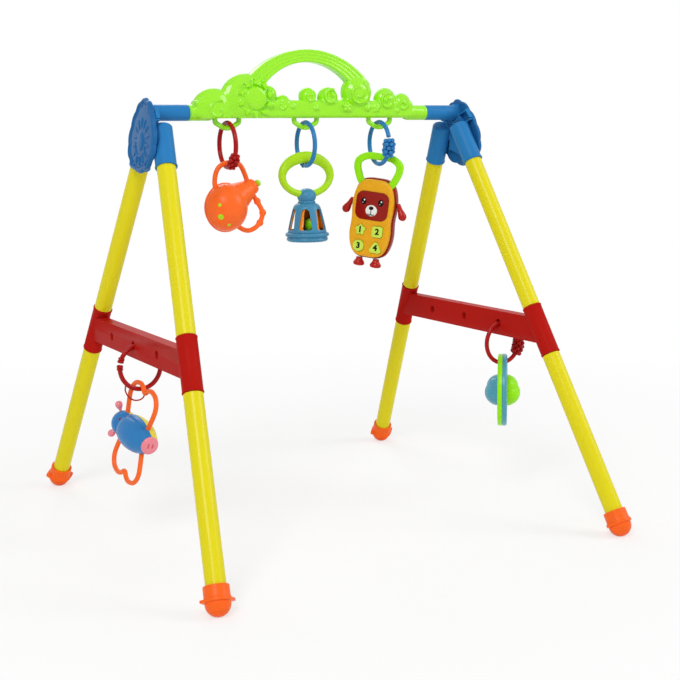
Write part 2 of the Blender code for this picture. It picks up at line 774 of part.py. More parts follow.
def cloud_bar(front_material, back_material):
    """The bar in two mouldings that meet at its middle plane, made about its own axis and then raised."""
    half = BAR_HALF_LENGTH
    sleeve, spigot = BAR_SLEEVE_D / 2, BAR_SPIGOT_D / 2
    inner = half - BAR_SLEEVE_LENGTH
    tip = half + BAR_SPIGOT_LENGTH
    low = (-half + BAR_CORE_INSET, -BAR_DEPTH / 2, BAR_BOTTOM)
    high = (inner + sleeve / 2, BAR_DEPTH / 2, BAR_TOP)
    whole = finished(box("bar_core", low, high, edge=0.004))
    for k, (x, height, radius, depth) in enumerate(cloud_puffs()):
        upright = Matrix.Rotation(math.pi / 2, 4, "X")
        radii = (radius, radius, depth)
        fuse(whole, ball(f"bar_puff_{k}", radii, (x, 0.0, height), around=14, rows=8, turn=upright))
    whole = finished(whole)
    cut(whole, box("bar_underside", (-tip, -BAR_DEPTH, -ARCH_TOP), (tip, BAR_DEPTH, BAR_BOTTOM)))
    for end_name, side in SIDES.items():
        profile = (
            (0, tip),
            (spigot - 0.001, tip),
            (spigot, tip - 0.001),
            (spigot, half),
            (sleeve, half),
            (sleeve, inner),
            (sleeve * 0.8, inner - 0.006),
            (0, inner - 0.006),
        )
        outwards = Matrix.Rotation(side * math.pi / 2, 4, "Y")
        fuse(whole, turned(f"bar_{end_name}_sleeve", profile, matrix=outwards))
    fuse(whole, loft("bar_arch", arch_rings()))
    face, rim = SUN_FACE, SUN_D / 2
    disc = (
        (0, face + 0.0010),
        (rim * 0.72, face + 0.0006),
        (rim, face - 0.0016),
        (rim, SUN_ROOT),
        (0, SUN_ROOT),
    )
    fuse(whole, turned("bar_sun", disc, matrix=facing_front((SUN_X, 0, SUN_HEIGHT)), steps=20))
    whole = finished(whole)
    front = add_object("cloud_bar_front", whole.data.copy(), front_material)
    back = add_object("cloud_bar_back", whole.data.copy(), back_material)
    bpy.data.objects.remove(whole)
    margin, beyond = SEAT_GAP / 2, 2 * half
    cut(front, box("bar_rear_half", (-beyond, -margin, -beyond), (beyond, beyond, beyond)))
    cut(back, box("bar_front_half", (-beyond, -beyond, -beyond), (beyond, margin, beyond)))
    for k, middle_x in enumerate(loop_centres()):
        path = smooth_path(loop_path(middle_x), per_span=2)
        cut(front, rod(f"bar_loop_room_{k}", path, LOOP_ROD_D / 2 + SEAT_GAP, sides=1))
        fuse(back, rod(f"bar_loop_{k}", path, LOOP_ROD_D / 2, sides=1))
    for piece, material in ((front, front_material), (back, back_material)):
        piece.data.materials.clear()
        piece.data.materials.append(material)
        finished(piece).matrix_basis = Matrix.Translation((0.0, 0.0, BAR_Z))


def berry(name, centre, direction, across, parent, length=BERRY_LENGTH, diameter=BERRY_D):
    """The bunch of small beads moulded on a link's end, as one bumpy skin."""
    direction, across = Vector(direction).normalized(), Vector(across).normalized()
    beside = direction.cross(across)
    rows, around = 7, 3 * BERRY_BUMPS
    rings = []
    for row in range(1, rows):
        angle = math.pi * row / rows
        ring = []
        for k in range(around):
            turn = math.tau * k / around
            shift = math.pi if (row // 3) % 2 else 0.0
            bump = 0.86 + 0.14 * math.cos(BERRY_BUMPS * turn + shift)
            radius = diameter / 2 * math.sin(angle) ** 0.7 * bump
            ring.append(
                Vector(centre)
                + direction * (length / 2 * math.cos(angle))
                + across * (radius * math.cos(turn))
                + beside * (radius * math.sin(turn))
            )
        rings.append(ring)
    return loft(name, rings, parent=parent)


def link_ring(name, top, sideways, gap_at, berry_ends, material, parent):
    """An open ring of wire that hangs from its top, with a bead bunch on one or both ends."""
    sideways, up = Vector(sideways), Vector((0, 0, 1))
    centre = Vector(top) - up * LINK_HALF_HEIGHT

    def place(angle):
        across, rise = LINK_HALF_WIDTH * math.sin(angle), LINK_HALF_HEIGHT * math.cos(angle)
        return centre + sideways * across + up * rise

    radius = (LINK_HALF_WIDTH + LINK_HALF_HEIGHT) / 2
    half_gap = LINK_GAP / 2 / radius
    start = gap_at + half_gap
    sweep = math.tau - 2 * half_gap
    steps = 24
    path = [place(start + sweep * k / steps) for k in range(steps + 1)]
    ring = rod(name, path, LINK_WIRE_D / 2, material, parent, sides=1)
    across = sideways.cross(up)
    for k, (end, length, diameter) in enumerate(berry_ends):
        back = length / 2 / radius - half_gap * 0.2
        angle = gap_at + end * (half_gap + back)
        direction = place(angle + 0.05) - place(angle - 0.05)
        fuse(ring, berry(f"{name}_berry_{k}", place(angle), direction, across, parent, length, diameter))
    return finished(ring)


def split_shells(names, whole, materials, parent, normal):
    """Cuts a solid into two shells on either side of the local plane through the origin."""
    shells = []
    for sign, name, material in zip((1, -1), names, materials):
        shell = add_object(name, whole.data.copy(), parent=parent, matrix=whole.matrix_basis.copy())
        shell.data.materials.clear()
        shell.data.materials.append(material)
        low = [-0.2, -0.2, -0.2]
        high = [0.2, 0.2, 0.2]
        if sign > 0:
            low[normal] = -SEAT_GAP / 2
        else:
            high[normal] = SEAT_GAP / 2
        cut(shell, box(f"{name}_far_side", low, high, parent=parent))
        shells.append(shell)
    bpy.data.objects.remove(whole)
    return shells


def rattle(parent, orange, orange_back, green):
    """A round body with a neck, held by one ring that makes both handles."""
    rise = HANG_RISE + RATTLE_HANDLE_D / 2
    body_centre = Vector((RATTLE_BODY_OFFSET, 0.0, -RATTLE_BODY_DROP))
    ring_points = (
        (0.0020, 0.0, rise),
        (0.0150, 0.0, 0.0030),
        (0.0225, 0.0, -0.0110),
        (0.0260, 0.0, -0.0240),
        (0.0345, 0.0, -0.0380),
        (0.0440, 0.0, -0.0560),
        (0.0375, 0.0, -0.0710),
        (0.0235, 0.0, -0.0770),
        (0.0080, 0.0, -0.0690),
        (-0.0080, 0.0, -0.0500),
        (-0.0165, 0.0, -0.0290),
        (-0.0175, 0.0, -0.0120),
        (-0.0115, 0.0, 0.0010),
    )
    path = smooth_path(ring_points, closed=True, per_span=2)
    rod("rattle_handles", path, RATTLE_HANDLE_D / 2, orange_back, parent, closed=True, sides=1)
    neck = Vector((math.sin(RATTLE_NECK_LEAN), 0.0, math.cos(RATTLE_NECK_LEAN)))
    place = Matrix.Translation(body_centre) @ neck.to_track_quat("Z", "Y").to_matrix().to_4x4()
    radius, reach = RATTLE_NECK_D / 2, RATTLE_NECK_REACH
    sagging = body_centre - Vector((0, 0, RATTLE_BODY_SAG))
    radii = (RATTLE_BODY_D / 2, RATTLE_BODY_D / 2, RATTLE_BODY_HEIGHT / 2)
    whole = ball("rattle_body", radii, sagging, parent=parent, around=18, rows=9)
    profile = (
        (0, reach),
        (radius * 0.62, reach - 0.0005),
        (radius * 0.9, reach - 0.0035),
        (radius, reach - 0.008),
        (RATTLE_NECK_ROOT_D / 2, RATTLE_NECK_ROOT),
        (0, RATTLE_NECK_ROOT),
    )
    fuse(whole, turned("rattle_neck", profile, parent=parent, matrix=place, steps=20))
    whole = finished(whole)
    shells = split_shells(
        ("rattle_front_shell", "rattle_back_shell"), whole, (orange, orange), parent, 1
    )
    nose_radius = RATTLE_NOSE_D / 2
    nose_place = place @ Matrix.Translation((-0.0036, 0, 0))
    stem = nose_radius * 0.6
    nose = (
        (0, reach + 0.0052),
        (nose_radius * 0.7, reach + 0.0042),
        (nose_radius, reach + 0.0018),
        (nose_radius * 0.8, reach + SEAT_GAP),
        (stem, reach + SEAT_GAP),
        (stem, reach - 0.004),
        (0, reach - 0.004),
    )
    turned("rattle_nose", nose, green, parent, nose_place, steps=12)
    groove = RATTLE_HANDLE_D / 2 + SEAT_GAP
    for k, shell in enumerate(shells):
        cut(shell, rod(f"rattle_groove_{k}", path, groove, parent=parent, closed=True))
        room = stem + SEAT_GAP
        hole = ((0, reach + 0.01), (room, reach + 0.01), (room, reach - 0.0045), (0, reach - 0.0045))
        cut(shell, turned(f"rattle_nose_hole_{k}", hole, parent=parent, matrix=nose_place, steps=12))
        finished(shell)


def bell_heights():
    """Heights below the hanging point: knob top, neck, shoulder, cage foot and base bottom."""
    return -0.0277, -0.0435, -0.0490, -0.0825, -0.0940


def bell_ring_sections():
    outer_centre, inner_centre = -0.0112, -0.0140
    inner_top = HANG_RISE
    outer_top = inner_top + BELL_RING_TOP
    outer_half = outer_top - outer_centre
    inner_half = inner_top - inner_centre
    rings = []
    for k in range(20):
        angle = math.tau * k / 20
        across, rise = math.sin(angle), math.cos(angle)
        outer = Vector((BELL_RING_WIDTH / 2 * across, 0, outer_centre + outer_half * rise))
        inner_width = BELL_RING_WIDTH / 2 - BELL_RING_SIDE
        inner = Vector((inner_width * across, 0, inner_centre + inner_half * rise))
        middle, half = (outer + inner) / 2, (outer - inner) / 2
        ring = []
        for step in range(8):
            turn = math.tau * step / 8
            depth = Vector((0, BELL_RING_DEPTH / 2 * math.sin(turn), 0))
            ring.append(middle + half * math.cos(turn) + depth)
        rings.append(ring)
    return rings


def cage_radius(height, inset=0.0):
    """The cage flares from its shoulder to its foot."""
    _, _, shoulder, cage_foot, _ = bell_heights()
    t = (shoulder - height) / (shoulder - cage_foot)
    top, foot_radius = BELL_CAGE_TOP_D / 2, BELL_RIM_D / 2 - 0.0030
    return top + (foot_radius - top) * t**0.8 - inset


def window_outline(width, low, high):
    half = width / 2
    bend = [math.pi * k / 4 for k in range(5)]
    arch = [(half * 0.72 * math.cos(angle), high - half + half * math.sin(angle)) for angle in bend]
    return [(-half, low), (half, low)] + arch


def window_cutters(name, parent, width, low, high):
    outline = window_outline(width, low, high)
    tools = []
    for k in range(BELL_WINDOWS // 2):
        turn = Matrix.Rotation(math.pi * k / (BELL_WINDOWS // 2), 4, "Z")
        tools.append(slab(f"{name}_{k}", [outline], 0.08, parent=parent, matrix=turn @ facing_front()))
    return tools


def bell(parent, ring_material, cage_material, liner_material, ball_material):
    """A ring handle on a windowed cage, with an orange liner and a loose ball in it."""
    knob_top, neck, shoulder, cage_foot, bottom = bell_heights()
    ring = loft("bell_handle", bell_ring_sections(), ring_material, parent, closed=True)
    knob, neck_radius = BELL_KNOB_D / 2, BELL_NECK_D / 2
    slope = [shoulder + (cage_foot - shoulder) * k / 4 for k in range(1, 5)]
    outer = [
        (0.0, knob_top),
        (knob * 0.5, knob_top - 0.0014),
        (knob * 0.87, knob_top - 0.0050),
        (knob, knob_top - 0.0098),
        (knob * 0.93, knob_top - 0.0135),
        (neck_radius * 0.96, neck),
        (neck_radius * 1.03, neck - 0.0020),
        (BELL_CAGE_TOP_D / 2 * 0.86, shoulder + 0.0012),
        (BELL_CAGE_TOP_D / 2, shoulder - 0.0006),
    ]
    outer += [(cage_radius(height), height) for height in slope]
    inner = [(cage_radius(height, BELL_WALL), height) for height in reversed(slope)]
    inner += [
        (BELL_CAGE_TOP_D / 2 - BELL_WALL * 1.2, shoulder - 0.0028),
        (0.0, shoulder - 0.0034),
    ]
    cage = turned("bell_cage", outer + inner, cage_material, parent, steps=18)
    sill, head = cage_foot + BELL_WINDOW_SILL, shoulder - BELL_WINDOW_HEAD
    cut(cage, *window_cutters("bell_window", parent, BELL_WINDOW_WIDTH, sill, head))
    room = loft("bell_handle_room", grown(bell_ring_sections(), SEAT_GAP), parent=parent, closed=True)
    cut(cage, room)
    cage = finished(cage)
    rim = BELL_RIM_D / 2
    floor = cage_foot - SEAT_GAP
    base = (
        (0, floor),
        (rim - 0.0016, floor),
        (rim, floor - 0.0020),
        (rim, floor - 0.0040),
        (rim - 0.0022, floor - 0.0048),
        (rim - 0.0022, floor - 0.0068),
        (rim - 0.0014, floor - 0.0080),
        (rim - 0.0040, bottom),
        (0, bottom),
    )
    turned("bell_base", base, cage_material, parent, steps=18)
    seat = BELL_WALL + SEAT_GAP
    liner_wall = 0.0013
    liner_outer = [(cage_radius(height, seat), height) for height in slope]
    liner_inner = [(cage_radius(height, seat + liner_wall), height) for height in reversed(slope)]
    liner = turned("bell_liner", liner_outer + liner_inner, liner_material, parent, steps=18)
    narrower = BELL_WINDOW_WIDTH - 0.0018
    cut(liner, *window_cutters("liner_window", parent, narrower, cage_foot + 0.0045, slope[0] - 0.0020))
    finished(liner)
    radius = BELL_BALL_D / 2
    ball("bell_ball", [radius] * 3, (0.006, 0, floor + SEAT_GAP + radius), ball_material, parent, 14, 8)
    return ring, cage


def grown(rings, margin):
    """The same sections, each pushed out from its own middle."""
    larger = []
    for ring in rings:
        middle = sum((Vector(point) for point in ring), Vector()) / len(ring)
        larger.append([point + (point - middle).normalized() * margin for point in ring])
    return larger


def phone_outline(margin=0.0):
    """A rounded body with a slight waist under the screen."""
    half_width, half_height = PHONE_WIDTH / 2 + margin, PHONE_HEIGHT / 2 + margin
    points = []
    for k in range(28):
        angle = math.tau * (k + 0.5) / 28
        cosine, sine = math.cos(angle), math.sin(angle)
        across = math.copysign(abs(cosine) ** 0.52, cosine)
        up = math.copysign(abs(sine) ** 0.78, sine)
        pinch = 1 - PHONE_WAIST * math.exp(-(((up + 0.05) / 0.28) ** 2))
        points.append((half_width * across * pinch, half_height * up))
    return points


def key_outline(shape, grow=0.0):
    size = KEY_SIZE / 2 + grow
    if shape == "star":
        count = 10
        radii = (size * 1.12, size * 0.74)
        return [
            (radii[k % 2] * math.sin(math.tau * k / count), radii[k % 2] * math.cos(math.tau * k / count))
            for k in range(count)
        ]
    if shape == "square":
        return rounded_box_outline(2 * size * 0.96, 2 * size * 0.96, size * 0.45, steps=3)
    if shape == "triangle":
        outline = []
        corner = size * 0.42
        for k in range(3):
            middle = math.pi / 2 + math.tau * k / 3
            centre = (size * 0.72 * math.cos(middle), size * 0.72 * math.sin(middle) - size * 0.12)
            for step in range(5):
                angle = middle - math.pi / 3 + math.pi * 2 / 3 * step / 4
                outline.append((centre[0] + corner * math.cos(angle), centre[1] + corner * math.sin(angle)))
        return outline
    return [(size * math.cos(math.tau * k / 20), size * math.sin(math.tau * k / 20)) for k in range(20)]


def phone_handle_outlines(grow=0.0):
    """A loop that is broadest near its top, with its foot inside the body."""
    half, band = PHONE_HANDLE_WIDTH / 2, PHONE_HANDLE_BAND
    top = HANG_RISE + band
    shape = (
        (0.0, top),
        (half * 0.55, top - 0.0010),
        (half * 0.93, top - 0.0090),
        (half, top - 0.0200),
        (half * 0.90, top - 0.0310),
        (half * 0.74, top - 0.0410),
        (half * 0.52, top - 0.0470),
        (0.0, top - 0.0480),
    )
    rim = [Vector(point) for point in shape] + [Vector((-x, z)) for x, z in reversed(shape[1:-1])]
    middle = Vector((0.0, top - 0.024))
    smooth = smooth_path([(*point, 0.0) for point in rim], closed=True, per_span=2)
    outline = [Vector(point[:2]) for point in smooth]
    outlines = []
    for offset in (grow, -band - grow):
        ring = []
        for k, point in enumerate(outline):
            along = (outline[(k + 1) % len(outline)] - outline[k - 1]).normalized()
            out = Vector((along[1], -along[0]))
            if out.dot(point - middle) < 0:
                out = -out
            ring.append(tuple(point + out * offset))
        outlines.append(ring)
    return outlines


def phone(parent, paint):
    """A toy phone: two shells, a loop handle, a face panel, four sprung keys, arms and feet."""
    body_z = -0.0717
    front_frame = facing_front((0, 0, 0))
    outlines = phone_handle_outlines()
    handle = slab("phone_handle", outlines, PHONE_HANDLE_DEPTH, paint["lime"], parent, front_frame)
    round_edges(handle, 0.0012, segments=1, angle=60)
    finished(handle)
    split = SEAT_GAP / 2
    fronts = Matrix.Translation((0, -split - PHONE_FRONT_DEPTH / 2, body_z)) @ facing_front()
    backs = Matrix.Translation((0, split + PHONE_BACK_DEPTH / 2, body_z)) @ facing_front()
    front = slab("phone_front_shell", [phone_outline()], PHONE_FRONT_DEPTH, paint["amber"], parent, fronts)
    back_outline = phone_outline(PHONE_BACK_LIP)
    back = slab("phone_back_shell", [back_outline], PHONE_BACK_DEPTH, paint["maroon"], parent, backs)
    round_edges(front, 0.0026, segments=1, angle=60)
    round_edges(back, 0.0030, segments=1, angle=60)
    front, back = finished(front), finished(back)
    face = split + PHONE_FRONT_DEPTH
    for k, shell in enumerate((front, back)):
        room = slab(
            f"phone_handle_room_{k}",
            phone_handle_outlines(SEAT_GAP),
            PHONE_HANDLE_DEPTH + 2 * SEAT_GAP,
            parent=parent,
            matrix=front_frame,
        )
        cut(shell, room)
    panel_z = body_z + 0.0163
    recess_floor = face - SCREEN_DEPTH
    panel_outline = rounded_box_outline(SCREEN_WIDTH, SCREEN_HEIGHT, SCREEN_CORNER)
    recess_size = (SCREEN_WIDTH + 2 * SEAT_GAP, SCREEN_HEIGHT + 2 * SEAT_GAP)
    recess_outline = rounded_box_outline(*recess_size, SCREEN_CORNER + SEAT_GAP)
    recess_depth = SCREEN_DEPTH + 0.002
    cut(
        front,
        slab(
            "phone_screen_recess",
            [recess_outline],
            recess_depth,
            parent=parent,
            matrix=Matrix.Translation((0, -recess_floor - recess_depth / 2, panel_z)) @ facing_front(),
        ),
    )
    proud = 0.0009
    panel_depth = SCREEN_DEPTH + proud - SEAT_GAP
    panel = slab(
        "phone_screen",
        [panel_outline],
        panel_depth,
        paint["maroon"],
        parent,
        Matrix.Translation((0, -recess_floor - SEAT_GAP - panel_depth / 2, panel_z)) @ facing_front(),
    )
    round_edges(panel, 0.0009, segments=1, angle=60)
    finished(panel)
    shapes = ("star", "square", "round", "triangle")
    for k, shape in enumerate(shapes):
        x = KEY_SPREAD / 2 * (-1 if k % 2 == 0 else 1)
        z = body_z + KEY_ROWS[k // 2]
        pocket = KEY_POCKET_DEPTH + 0.002
        well = slab(
            f"phone_key_well_{k + 1}",
            [key_outline(shape, SLIDE_GAP)],
            pocket,
            parent=parent,
            matrix=Matrix.Translation((x, -(face - KEY_POCKET_DEPTH) - pocket / 2, z)) @ facing_front(),
        )
        cut(front, well)
        depth = KEY_POCKET_DEPTH + KEY_PROUD - KEY_TRAVEL - SLIDE_GAP
        key = slab(
            f"phone_key_{k + 1}",
            [key_outline(shape)],
            depth,
            paint["lime"],
            parent,
            Matrix.Translation((x, -(face + KEY_PROUD) + depth / 2, z)) @ facing_front(),
        )
        bevel = round_edges(key, 0.0009, segments=1, angle=70)
        bevel.limit_method = "ANGLE"
        finished(key)
    finished(front)
    cover_back = split + PHONE_BACK_DEPTH
    cover_depth = 0.0018
    lid_outline = rounded_box_outline(BATTERY_COVER_WIDTH, BATTERY_COVER_HEIGHT, 0.004, steps=3)
    room_outline = rounded_box_outline(
        BATTERY_COVER_WIDTH + 2 * SEAT_GAP, BATTERY_COVER_HEIGHT + 2 * SEAT_GAP, 0.004 + SEAT_GAP, steps=3
    )
    lid_z = body_z - 0.012
    cut(
        back,
        slab(
            "phone_battery_bay",
            [room_outline],
            2 * cover_depth,
            parent=parent,
            matrix=Matrix.Translation((0, cover_back, lid_z)) @ facing_front(),
        ),
    )
    lid_depth = cover_depth - SEAT_GAP
    slab(
        "phone_battery_cover",
        [lid_outline],
        lid_depth,
        paint["maroon"],
        parent,
        Matrix.Translation((0, cover_back - lid_depth / 2, lid_z)) @ facing_front(),
    )
    finished(back)
    for side_name, side in SIDES.items():
        phone_limb(f"phone_{side_name}_arm", side, body_z, parent, paint["red"])
        phone_foot(f"phone_{side_name}_foot", side, body_z, parent, paint["red"])


def outline_reach(points, height):
    """Half the width of an outline at a height."""
    best = min(points, key=lambda point: abs(point[1] - height))
    return abs(best[0])


def phone_limb(name, side, body_z, parent, material):
    """A short arm that swells into a hand, with its root against the shell's side."""
    root_z, hand_z = 0.0215, 0.0065
    root_x = outline_reach(phone_outline(PHONE_BACK_LIP), root_z) + SEAT_GAP + 0.0016
    rings = []
    start = Vector((side * root_x, 0.004, body_z + root_z))
    stop = Vector((side * (root_x + 0.0078), 0.004, body_z + hand_z))
    along = (stop - start).normalized()
    across = Vector((0, 1, 0))
    beside = along.cross(across)
    small, large = ARM_D / 2, HAND_D / 2
    length = (stop - start).length
    stations = (
        (-0.0008, small * 0.5),
        (0.0, small * 0.9),
        (0.35, small * 1.05),
        (0.7, large * 0.86),
        (0.95, large),
        (1.15, large * 0.8),
        (1.28, large * 0.35),
    )
    for t, radius in stations:
        spot = start + along * (length * t)
        turns = [math.tau * k / 12 for k in range(12)]
        ring = [across * math.cos(angle) + beside * math.sin(angle) for angle in turns]
        rings.append([spot + direction * radius for direction in ring])
    arm = loft(name, rings, material, parent)
    keep = box(
        f"{name}_shell_side",
        (-root_x + 0.0016, -0.1, -0.2),
        (root_x - 0.0016, 0.1, 0.2),
        parent=parent,
    )
    cut(arm, keep)
    return finished(arm)


def phone_foot(name, side, body_z, parent, material):
    radius = PHONE_FOOT_D / 2
    top = -PHONE_HEIGHT / 2 - PHONE_BACK_LIP - SEAT_GAP
    profile = (
        (0, top),
        (radius * 0.58, top),
        (radius * 0.60, top - 0.0030),
        (radius * 0.95, top - 0.0062),
        (radius, top - 0.0082),
        (radius * 0.84, top - 0.0104),
        (radius * 0.4, top - 0.0112),
        (0, top - 0.0114),
    )
    place = Matrix.Translation((side * 0.0115, 0.001, body_z))
    return turned(name, profile, material, parent, place, steps=14)


def piglet_handle_path():
    """A butterfly outline: two lobes above and below, drawn in where the body sits."""
    quarter = (
        (0.0, 0.0500),
        (0.0075, 0.0550),
        (PIGLET_LOBE_OUT, PIGLET_LOBE_REACH),
        (0.0280, 0.0525),
        (0.0335, 0.0400),
        (0.0290, 0.0190),
        (0.0235, 0.0),
    )
    right = list(quarter) + [(x, -z) for x, z in reversed(quarter[:-1])]
    whole = right + [(-x, z) for x, z in reversed(right[1:-1])]
    return smooth_path([(0.0, -x, z) for x, z in whole], closed=True, per_span=2)


def piglet(parent, paint):
    """A pig-like body clasped round a butterfly handle. Local -Y is its nose and +Z its left side."""
    path = piglet_handle_path()
    radius = PIGLET_HANDLE_D / 2
    rod("piglet_handle", path, radius, paint["orange"], parent, closed=True, sides=1)
    head, body, snout = PIGLET_HEAD_D / 2, PIGLET_BODY_D / 2, SNOUT_D / 2
    nose_end = 0.0400
    head_centre = -0.0290
    profile = [
        (0.0, nose_end),
        (snout * 0.98, nose_end),
        (snout * 1.08, nose_end - 0.0020),
        (body * 0.74, 0.0300),
        (body * 0.90, 0.0210),
        (body * 0.985, 0.0110),
        (body, 0.0020),
        (body * 0.96, -0.0070),
        (body * 0.87, -0.0135),
        (body * 0.80, -0.0155),
        (head * 0.93, -0.0160),
    ]
    first = math.acos(min(1.0, (-0.0160 - head_centre) / head)) + 0.12
    for k in range(7):
        angle = first + (math.pi - first) * k / 6
        profile.append((head * math.sin(angle) if k < 6 else 0.0, head_centre + head * math.cos(angle)))
    nose_first = Matrix.Rotation(math.pi / 2, 4, "X")
    whole = turned("piglet_body", profile, parent=parent, matrix=nose_first, steps=20)
    whole = finished(whole)
    shells = split_shells(
        ("piglet_blue_shell", "piglet_yellow_shell"), whole, (paint["blue"], paint["sunny"]), parent, 0
    )
    snout_profile = (
        (0, nose_end + 0.0032),
        (snout * 0.86, nose_end + 0.0032),
        (snout, nose_end + 0.0020),
        (snout, nose_end + SEAT_GAP),
        (0, nose_end + SEAT_GAP),
    )
    turned("piglet_snout", snout_profile, paint["pink"], parent, nose_first, steps=20)
    ear_spots = []
    for side_name, side in SIDES.items():
        direction = Vector((-0.26, 0.56, -side * 0.78)).normalized()
        root = Vector((0, -head_centre, 0)) + direction * head
        ear_spots.append((side_name, direction, root))
    for shell in shells:
        cut(shell, rod(f"{shell.name}_groove", path, radius + SEAT_GAP, parent=parent, closed=True))
        if shell is shells[0]:
            for side_name, direction, root in ear_spots:
                turn = direction.to_track_quat("Z", "Y").to_matrix().to_4x4()
                place = Matrix.Translation(root) @ turn
                room, floor = EAR_PEG_D / 2 + SEAT_GAP, -EAR_PEG_LENGTH - 0.0004
                hole = ((0, 0.01), (room, 0.01), (room, floor), (0, floor))
                cut(shell, turned(f"piglet_{side_name}_ear_hole", hole, parent=parent, matrix=place, steps=12))
        finished(shell)
    for side_name, direction, root in ear_spots:
        turn = direction.to_track_quat("Z", "Y").to_matrix().to_4x4()
        place = Matrix.Translation(root) @ turn
        ear = EAR_D / 2
        profile = (
            (0, EAR_LENGTH),
            (ear * 0.68, EAR_LENGTH * 0.91),
            (ear, EAR_LENGTH * 0.64),
            (ear * 0.86, EAR_LENGTH * 0.36),
            (EAR_PEG_D / 2, 0.0010),
            (EAR_PEG_D / 2, -EAR_PEG_LENGTH),
            (0, -EAR_PEG_LENGTH),
        )
        turned(f"piglet_{side_name}_ear", profile, paint["pink"], parent, place, steps=12)


def petal_half(name, sign, parent, material):
    """Half of a ball whose lobes meet in a dimple at its pole."""
    rings = []
    rows, around = 6, 5 * PETAL_BALL_LOBES
    radius, half = PETAL_BALL_D / 2, PETAL_BALL_WIDTH / 2
    for row in range(rows):
        angle = math.pi / 2 * row / (rows - 0.35)
        ring = []
        for k in range(around):
            turn = math.tau * k / around
            swell = abs(math.cos(PETAL_BALL_LOBES / 2 * turn))
            reach = radius * math.cos(angle) * (0.90 + 0.10 * swell)
            height = half * math.sin(angle) * (0.93 + 0.07 * swell)
            ring.append((sign * max(height, SEAT_GAP / 2), reach * math.sin(turn), reach * math.cos(turn)))
        rings.append(ring)
    return loft(name, rings, material, parent)


def petal_ball(parent, spinner, paint):
    """Two flat rings back to back, and a lobed ball that spins on an axle across them."""
    radius = RING_D / 2
    inner = radius - RING_BAND
    centre = Matrix.Translation((0, 0, HANG_RISE - inner))
    axle_reach = inner + 0.0030
    sideways = centre @ Matrix.Rotation(math.pi / 2, 4, "X")
    axle_profile = ((0, axle_reach), (AXLE_D / 2, axle_reach), (AXLE_D / 2, -axle_reach), (0, -axle_reach))
    turned("petal_axle", axle_profile, paint["lime"], parent, sideways, steps=12)
    for name, sign, material in (("ring_green", -1, paint["lime"]), ("ring_blue", 1, paint["teal"])):
        near, far = SEAT_GAP / 2, SEAT_GAP / 2 + RING_THICKNESS
        corner = 0.0008
        profile = (
            (inner, far),
            (radius - corner, far),
            (radius, far - corner),
            (radius, near),
            (inner, near),
        )
        turn = Matrix.Rotation(sign * math.pi / 2, 4, "Y")
        ring = turned(name, profile, material, parent, centre @ turn, steps=28)
        room = AXLE_D / 2 + SEAT_GAP
        reach = axle_reach + SEAT_GAP
        seat = ((0, reach), (room, reach), (room, -reach), (0, -reach))
        cut(ring, turned(f"{name}_axle_seat", seat, parent=parent, matrix=sideways, steps=12))
        finished(ring)
    halves = (("petal_teal_half", -1, paint["teal"]), ("petal_lime_half", 1, paint["lime"]))
    for name, sign, material in halves:
        half = petal_half(name, sign, spinner, material)
        room = AXLE_D / 2 + SEAT_GAP
        seat = ((0, 0.04), (room, 0.04), (room, -0.04), (0, -0.04))
        along = Matrix.Rotation(math.pi / 2, 4, "X")
        cut(half, turned(f"{name}_bore", seat, parent=spinner, matrix=along, steps=12))
        finished(half)


clear_scene()
gym = new_collection("play_gym")
cutters = new_collection("cutters")


def build_frames():
    yellow = plastic("yellow tube", YELLOW, 0.30)
    red = plastic("red connector", RED, 0.30)
    blue = plastic("blue hub", BLUE, 0.35)
    orange = plastic("orange foot", ORANGE, 0.35)
    collar_low = along_leg(BEAM_Z) - COLLAR_LENGTH / 2 - SEAT_GAP
    collar_high = along_leg(BEAM_Z) + COLLAR_LENGTH / 2 + SEAT_GAP
    hub_seat = along_leg(HUB_SOCKET_Z) + HUB_TUBE_DEPTH
    for side_name, side in SIDES.items():
        hub(f"{side_name}_hub", side, blue)
        hub_cover(f"{side_name}_hub_cover", side, blue)
        crossbar(f"{side_name}_crossbar", side, red)
        for end_name, end in ENDS.items():
            place = f"{side_name}_{end_name}"
            tube(f"{place}_lower_tube", side, end, foot_seat(), collar_low, yellow)
            tube(f"{place}_upper_tube", side, end, collar_high, hub_seat, yellow)
            foot(f"{place}_foot", side, end, orange)


